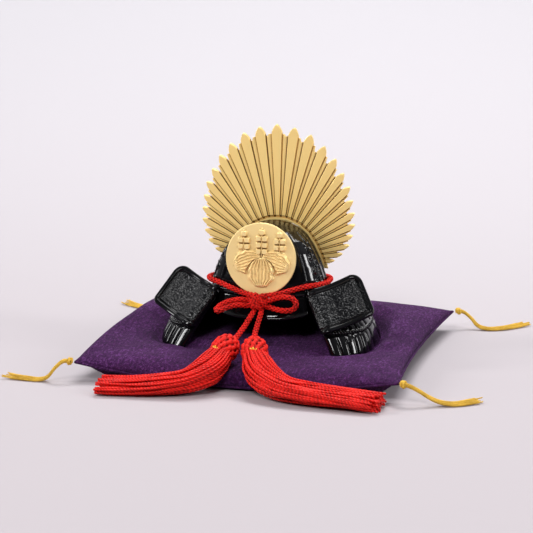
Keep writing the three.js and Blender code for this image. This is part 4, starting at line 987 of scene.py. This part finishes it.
black_grain = grained_black("black_grain")
wing_alongs, wing_plain, wing_normal, wing_gap = wing_grid()
wing_lift = lift_wing(wing_gap, wing_alongs)
grain = ease((wing_gap - WING_RIM - 1.0) / 0.8) * (wing_alongs[:, None] > -0.98)
along_mm = wing_alongs * np.where(wing_alongs > 0, WING_WIDTH - WING_ROLL, WING_ROLL_LENGTH)
down_mm = np.linspace(0, WING_HEIGHT, wing_gap.shape[1])
along_mm, down_mm = np.meshgrid(along_mm, down_mm, indexing="ij")
wing_lift = wing_lift + GRAIN_HEIGHT * grain * pebbles(along_mm, down_mm, GRAIN_SIZE, 4)
grain = np.concatenate([grain, np.zeros_like(grain)], 1)
grain = np.concatenate([np.zeros((1, grain.shape[1])), grain, np.zeros((1, grain.shape[1]))])
outward = wing_normal if np.mean(wing_normal[..., 1]) < 0 else -wing_normal
round_back = 0.5 * (1 - np.sqrt(np.clip(1 - (1 - np.clip(wing_gap / 0.5, 0, 1)) ** 2, 0, 1)))
wing_front = wing_plain + outward * wing_lift[..., None]
wing_back = wing_plain - outward * (WING_THICKNESS - round_back)[..., None]
wing_both = closed_ends(np.concatenate([wing_front, wing_back[:, ::-1]], 1))
for side, sign in (("right", 1), ("left", -1)):
    grid = wing_both * np.array([sign, 1, 1])
    wing = mesh_piece("wing_" + side + "_casting", [grid if sign > 0 else grid[:, ::-1]], black_grain,
                      marks=[grain if sign > 0 else grain[:, ::-1]])
    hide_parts("wing_" + side)

# Rear crest: 29 flat-topped blades cast as one fan in matte gold, standing on an arch that fits over the
# bowl. Between the blades are sunk strips that end short of the points, and a thin ring binds their feet.
FAN_BLADES = 29
FAN_REACH = 71.1
FAN_SHARES = [
    1, 0.987, 0.963, 0.92, 0.875, 0.821, 0.774, 0.722, 0.678, 0.637, 0.59, 0.544, 0.482, 0.418, 0.365,
]
FAN_PITCH = math.radians(7.55)
FAN_LEAN = math.radians(2.8)
FAN_CENTRE = np.array([0, 6.6, RIM_Z + 11.5])
FAN_PLATE_HALF = 0.5
FAN_RELIEF = 0.8
FAN_RING_WIDTH = 1.2
FAN_RING_FRONT = FAN_PLATE_HALF + 0.8
FAN_TIP = 4.4
BLADE_HALF = 0.66
ARCH_GAP = 0.15


def fan_angle(index):
    k = abs(index)
    return math.copysign(k * FAN_PITCH * (1 - 0.0088 * (k - 1)), index) if index else 0.0


def fan_place(angle, reach, depth):
    x, y, z = reach * math.sin(angle), -depth, reach * math.cos(angle)
    c, s = math.cos(FAN_LEAN), math.sin(FAN_LEAN)
    return np.array([x, y * c - z * s, y * s + z * c]) + FAN_CENTRE


def inside_bowl(p, margin):
    rise = (p[2] - RIM_Z) / BOWL_RISE
    if rise > 1 + margin / BOWL_RISE:
        return False
    rise = min(max(rise, 0), 1)
    half = BOWL_WIDTH / 2 * bowl_share(1, rise) + margin
    mid_y = bowl_mid_y(rise)
    front = p[1] < mid_y
    deep = (BOWL_FRONT * bowl_share(2, rise) if front else BOWL_BACK * bowl_share(3, rise)) + margin
    power = FRONT_POWER if front else BACK_POWER
    return (abs(p[0]) / half) ** power + (abs(p[1] - mid_y) / deep) ** power < 1


def fan_arch(angle, side):
    """How far out from the fan's centre the arch starts, found by small steps until it clears the bowl."""
    reach = 10.0
    depth = side * (FAN_PLATE_HALF + 0.5 * FAN_RELIEF)
    while inside_bowl(fan_place(angle, reach, depth), ARCH_GAP + BOWL_RIB_HEIGHT):
        reach += 0.08
    return reach


def matte_gold(name, light, deep, line, grain_scale, grain_depth):
    """Matte gold plating over a cast surface: fine grain, painted shade deeper in the hollows and brown in
    marked lines.
    """
    material, tree, shader = new_finish(name, Metallic=0.35)
    place = object_place(tree)
    grain = noise(tree, place, grain_scale, 4.0, 0.65)
    # Ambient occlusion is painted into the colour: painted shade that turns deep, then brown, where the
    # surface is hollow.
    hollow = add_node(tree, "AmbientOcclusion", {"samples": 8, "only_local": True},
                      Distance=0.0016).outputs["AO"]
    shade = calc(tree, "MULTIPLY_ADD", noise(tree, place, 70.0, 3.0), 0.18, hollow)
    speckle = calc(tree, "MULTIPLY_ADD", grain, 1600 * grain_depth, -800 * grain_depth)
    shade = calc(tree, "SUBTRACT", calc(tree, "ADD", shade, speckle), mark_value(tree))
    color = color_steps(tree, shade, [(0.1, line), (0.4, deep), (0.95, light)])
    tree.links.new(color, shader.inputs["Base Color"])
    rough = add_node(tree, "MapRange", Value=grain, To_Min=0.34, To_Max=0.5).outputs["Result"]
    tree.links.new(rough, shader.inputs["Roughness"])
    add_bump(tree, shader, 0.35, grain_depth, grain)
    return material


# The dark brown line colour is painted shade, laid on by the marks below and in the hollows.
fan_gold = matte_gold("fan_gold", light=(1.0, 0.73, 0.27, 1), deep=(0.5, 0.26, 0.05, 1),
                      line=(0.07, 0.027, 0.004, 1), grain_scale=1400.0, grain_depth=0.00015)
half_profile = [  # share of the half pitch, height of the relief, 1 on the blade, depth of brown painted shade
    (0.0, 1.0, 1, 0), (0.16, 1.0, 1, 0), (0.3, 1.0, 1, 0), (0.42, 1.0, 1, 0), (0.54, 0.99, 1, 0),
    (0.59, 0.85, 1, 0), (0.64, 0.05, 1, 0.8), (0.66, 0.0, 0, 0.9), (0.7, 0.0, 0, 0.6), (0.76, 0.2, 0, 0),
    (0.9, 0.45, 0, 0),
]
blade_profile = [(-1.0, 0.4, 0, 0)] + [(-a, b, c, d) for a, b, c, d in half_profile[:0:-1]] + half_profile
fan_columns, fan_shade_marks = [], []
fan_side = (FAN_BLADES - 1) // 2
for index in range(-fan_side, fan_side + 1):
    k = abs(index)
    middle_angle = fan_angle(index)
    half = (fan_angle(k + 0.5) - fan_angle(k - 0.5)) / 2
    reach = FAN_REACH * FAN_SHARES[k]
    profile = blade_profile + ([(1.0, 0.4, 0, 0)] if index == fan_side else [])
    for share, relief_height, in_blade, line_shade in profile:
        angle = middle_angle + half * share
        arch_front, arch_back = fan_arch(angle, 1), fan_arch(angle, -1)
        rim = max(arch_front, arch_back) + FAN_RING_WIDTH
        short = max(reach - FAN_TIP * FAN_SHARES[k], rim + 1.2)
        point_end = short - 0.6
        if in_blade:
            point_end = short + (reach - short) * (1 - (abs(share) / BLADE_HALF) ** 1.5)
        top = FAN_PLATE_HALF + FAN_RELIEF * relief_height
        back = -FAN_PLATE_HALF - 0.5 * FAN_RELIEF * relief_height
        foot_gap = rim + 0.9
        foot = foot_gap + 0.35
        soft_tip = 0.35 * (1 if in_blade else 0.3)
        rows = [(arch_front, FAN_RING_FRONT - 0.15), (arch_front + 0.15, FAN_RING_FRONT)]
        rows += [(rim - 0.15, FAN_RING_FRONT), (rim, FAN_PLATE_HALF - 0.1), (foot_gap, FAN_PLATE_HALF - 0.1)]
        rows += [(foot + (point_end - 0.8 - foot) * t, top) for t in (0, 0.33, 0.66, 1.0)]
        rows += [(point_end - 0.2, top - soft_tip * 0.4), (point_end, top - soft_tip * 1.4)]
        rows += [(point_end - 0.05, back + 0.2), (point_end - 0.3, back)]
        rows += [(arch_back + (point_end - arch_back) * 0.5, back), (arch_back, back)]
        fan_columns.append([fan_place(angle, r, d) for r, d in rows])
        # Painted shade: brown lines along the valley edges, at full strength on the side of each blade that
        # faces the middle and weaker on the other; the notch shade darkens the gap between the ring and the
        # blades' feet, most in the valleys.
        line_shade *= 1 if share * index < 0 else 0.45
        notch_shade = 0.2 if in_blade else 0.9
        marks = [0.0, 0.0, 0.0, 0.4 * notch_shade, notch_shade] + [line_shade] * 5 + [0.2 * line_shade]
        fan_shade_marks.append(marks + [0.0] * (len(rows) - len(marks)))
fan_grid = closed_ends(np.array(fan_columns))
fan_shade_marks = np.array([fan_shade_marks[0]] + fan_shade_marks + [fan_shade_marks[-1]])
fan = mesh_piece("fan_crest_casting", [fan_grid], fan_gold, smooth=False, marks=[fan_shade_marks])
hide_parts("fan_crest")

# Front crest: a flat disc cast in pale gold with a sandy ground. Three veined leaves and three flower
# spikes stand on it, in the common five-seven-five form.
DISC_RADIUS = 18.0
DISC_THICKNESS = 1.3
DISC_RELIEF = 1.5
DISC_LEAN = math.radians(5)
DISC_CENTRE = np.array([0, -27.9, RIM_Z + 18.7])
DISC_FACE_ROWS = 150
DISC_EDGE = np.array([  # share of the radius, height over the back
    (0.985, DISC_THICKNESS - 0.03), (0.995, DISC_THICKNESS - 0.12), (1.0, DISC_THICKNESS - 0.3), (1.0, 0.3),
    (0.99, 0), (0.5, 0), (0.0, 0),
])
LEAF_ROOT = (0.03, 0.06)
LEAVES = [(-70, 0.84, 0.34), (70, 0.84, 0.34), (0, 0.86, 0.4)]
SPIKES = [(0.03, 0.14, (2, 2, 2, 1)), (-0.48, 0.26, (2, 2, 1)), (0.54, 0.26, (2, 2, 1))]
LEAF_EDGE = 0.045
VEINS = (0.0, 0.26, 0.51, 0.75)
VEIN_HALF = 0.021
FLORET_HALF = 0.088
FLORET_PITCH = 0.178


def leaf_height(x, y, length, width):
    """A broad leaf that hangs from the origin, lobed at its edge, with veins that curve to the tip."""
    px, py = x, -y
    t = np.clip(py / length, 0, 1)
    swell = np.sin(np.pi * np.clip(t, 0, 1) ** 1.05) ** 0.5
    lobes = 1 + 0.07 * np.cos(7 * np.pi * t + np.pi) * ease((t - 0.3) * 5)
    lane = np.abs(px) / np.maximum(width * swell * lobes, 1e-6)
    inside = np.minimum((1 - lane) * width, np.minimum(py, length - py) * 1.3)
    body = ease(inside / LEAF_EDGE) * (py > 0) * (py < length)
    veins = np.zeros_like(px)
    for at in VEINS:
        veins = np.maximum(veins, np.exp(-((lane - at) * width * swell / VEIN_HALF) ** 2))
    veins = veins * ease((0.96 - lane) / 0.1) * ease(t * 10) * ease((1 - t) * 9)
    return body * (0.58 + 0.42 * veins), body


def disc_height(x, y):
    height = np.zeros_like(x)
    for turn_deg, length, width in LEAVES:
        c, s = math.cos(math.radians(-turn_deg)), math.sin(math.radians(-turn_deg))
        px, py = x - LEAF_ROOT[0], y - LEAF_ROOT[1]
        leaf, body = leaf_height(px * c - py * s, px * s + py * c, length, width)
        around = leaf_height((px * c - py * s) * 0.9, (px * s + py * c + 0.02) * 0.95, length, width)[1]
        height = np.where(around > 0.02, np.minimum(height, 0.25 * (1 - around)), height)
        height = np.maximum(height, leaf)
    for across, base, rows in SPIKES:
        along_stem = (y > base - 0.08) & (y < base + FLORET_PITCH * len(rows))
        stem = ease((0.03 - np.abs(x - across)) / 0.02) * along_stem
        height = np.maximum(height, 0.55 * stem)
        for row, count in enumerate(rows):
            for k in range(count):
                cx = across + (k - (count - 1) / 2) * FLORET_PITCH
                cy = base + FLORET_PITCH * (row + 0.35)
                dx, dy = np.abs(x - cx) / FLORET_HALF, np.abs(y - cy) / FLORET_HALF
                reach = (dx ** 4 + dy ** 4) ** 0.25
                height = np.maximum(height, ease((1.0 - reach) / 0.3))
    return height


disc_gold = matte_gold("disc_gold", light=(1.0, 0.76, 0.34, 1), deep=(0.42, 0.22, 0.05, 1),
                       line=(0.2, 0.09, 0.02, 1), grain_scale=760.0, grain_depth=0.0005)
disc_reaches = np.concatenate([np.linspace(0.0, 0.965, DISC_FACE_ROWS), DISC_EDGE[:, 0]])
disc_angles = np.linspace(0, 2 * np.pi, 361)[:-1]
disc_x = disc_reaches[:, None] * np.sin(disc_angles)[None]
disc_y = disc_reaches[:, None] * np.cos(disc_angles)[None]
disc_z = DISC_THICKNESS + DISC_RELIEF * disc_height(disc_x, disc_y)
disc_z[DISC_FACE_ROWS:] = DISC_EDGE[:, 1:]
c, s = math.cos(math.pi / 2 - DISC_LEAN), math.sin(math.pi / 2 - DISC_LEAN)
flat = np.stack([disc_x * DISC_RADIUS, disc_y * DISC_RADIUS, disc_z], -1)
upright = [flat[..., 0], flat[..., 1] * c - flat[..., 2] * s, flat[..., 1] * s + flat[..., 2] * c]
disc = mesh_piece("crest_disc_casting", [np.stack(upright, -1) + DISC_CENTRE], disc_gold)
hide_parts("crest_disc")

# Floor and light: a pale seamless sweep under a dim room. Small soft lights stand at the left, at the
# right and in front, a wide one hangs above, and one is turned to the wall behind.
# The paper's colour grades from darker at the front to lighter at the back: painted light and shade on the
# sweep.
FLOOR_NEAR = (0.418, 0.38, 0.4, 1)
FLOOR_FAR = (0.59, 0.58, 0.61, 1)
SWEEP_START = 0.25
SWEEP_RADIUS = 1.4
sweep_line = [(-1.8, 0)]
for a in np.linspace(0, np.pi / 2, 25):
    sweep_line.append((SWEEP_START + SWEEP_RADIUS * math.sin(a), SWEEP_RADIUS * (1 - math.cos(a))))
sweep_line.append((SWEEP_START + SWEEP_RADIUS, 2.6))
sweep = [(x, y, z) for y, z in sweep_line for x in (-3.0, 3.0)]
floor_mesh = bpy.data.meshes.new("floor")
floor_mesh.from_pydata(sweep, [], [(k, k + 1, k + 3, k + 2) for k in range(0, len(sweep) - 2, 2)])
floor_mesh.polygons.foreach_set("use_smooth", np.ones(len(floor_mesh.polygons), bool))
floor_paper, floor_tree, floor_shader = new_finish("floor_paper", Roughness=0.8)
floor_y = add_node(floor_tree, "SeparateXYZ", Vector=object_place(floor_tree)).outputs["Y"]
floor_far = add_node(floor_tree, "MapRange", Value=floor_y, From_Min=0.0, From_Max=1.3).outputs["Result"]
floor_painted_shading = color_steps(floor_tree, floor_far, [(0.0, FLOOR_NEAR), (1.0, FLOOR_FAR)])
floor_tree.links.new(floor_painted_shading, floor_shader.inputs["Base Color"])
floor_mesh.materials.append(floor_paper)
floor = bpy.data.objects.new("floor", floor_mesh)
bpy.context.scene.collection.objects.link(floor)


def soft_light(name, place, aim, size, power):
    light = bpy.data.lights.new(name, "AREA")
    light.shape = "RECTANGLE"
    light.size, light.size_y = size
    light.energy = power
    lamp = bpy.data.objects.new(name, light)
    lamp.location = place
    lamp.rotation_euler = (Vector(aim) - Vector(place)).to_track_quat("-Z", "Y").to_euler()
    bpy.context.scene.collection.objects.link(lamp)


soft_light("left_window", (-0.95, -0.45, 0.6), (0, 0, 0.04), (0.22, 0.5), 7)
soft_light("right_window", (1.0, -0.2, 0.55), (0, 0, 0.04), (0.2, 0.45), 5.5)
soft_light("front_window", (-0.1, -1.15, 0.95), (0, 0, 0.06), (0.4, 0.28), 9)
soft_light("top_window", (0.1, 0.5, 1.1), (0, 0, 0.0), (0.9, 0.5), 14.5)
soft_light("wall_light", (-1.1, 0.4, 1.0), (-1.0, 1.5, 0.3), (0.8, 0.8), 8)
world = bpy.data.worlds.new("studio")
world.use_nodes = True
sky = world.node_tree
sky_way = add_node(sky, "SeparateXYZ", Vector=add_node(sky, "TexCoord").outputs["Generated"]).outputs
sky_up = calc(sky, "MULTIPLY_ADD", sky_way["Z"], 0.35, 0.35)
sky_level = calc(sky, "MULTIPLY_ADD", sky_way["Y"], 0.4, sky_up)
sky_tone = color_steps(sky, sky_level, [(0.1, (0.06, 0.06, 0.07, 1)), (0.8, (0.85, 0.85, 0.9, 1))])
sky.links.new(sky_tone, sky.nodes["Background"].inputs["Color"])
sky.nodes["Background"].inputs["Strength"].default_value = 0.5
bpy.context.scene.world = world
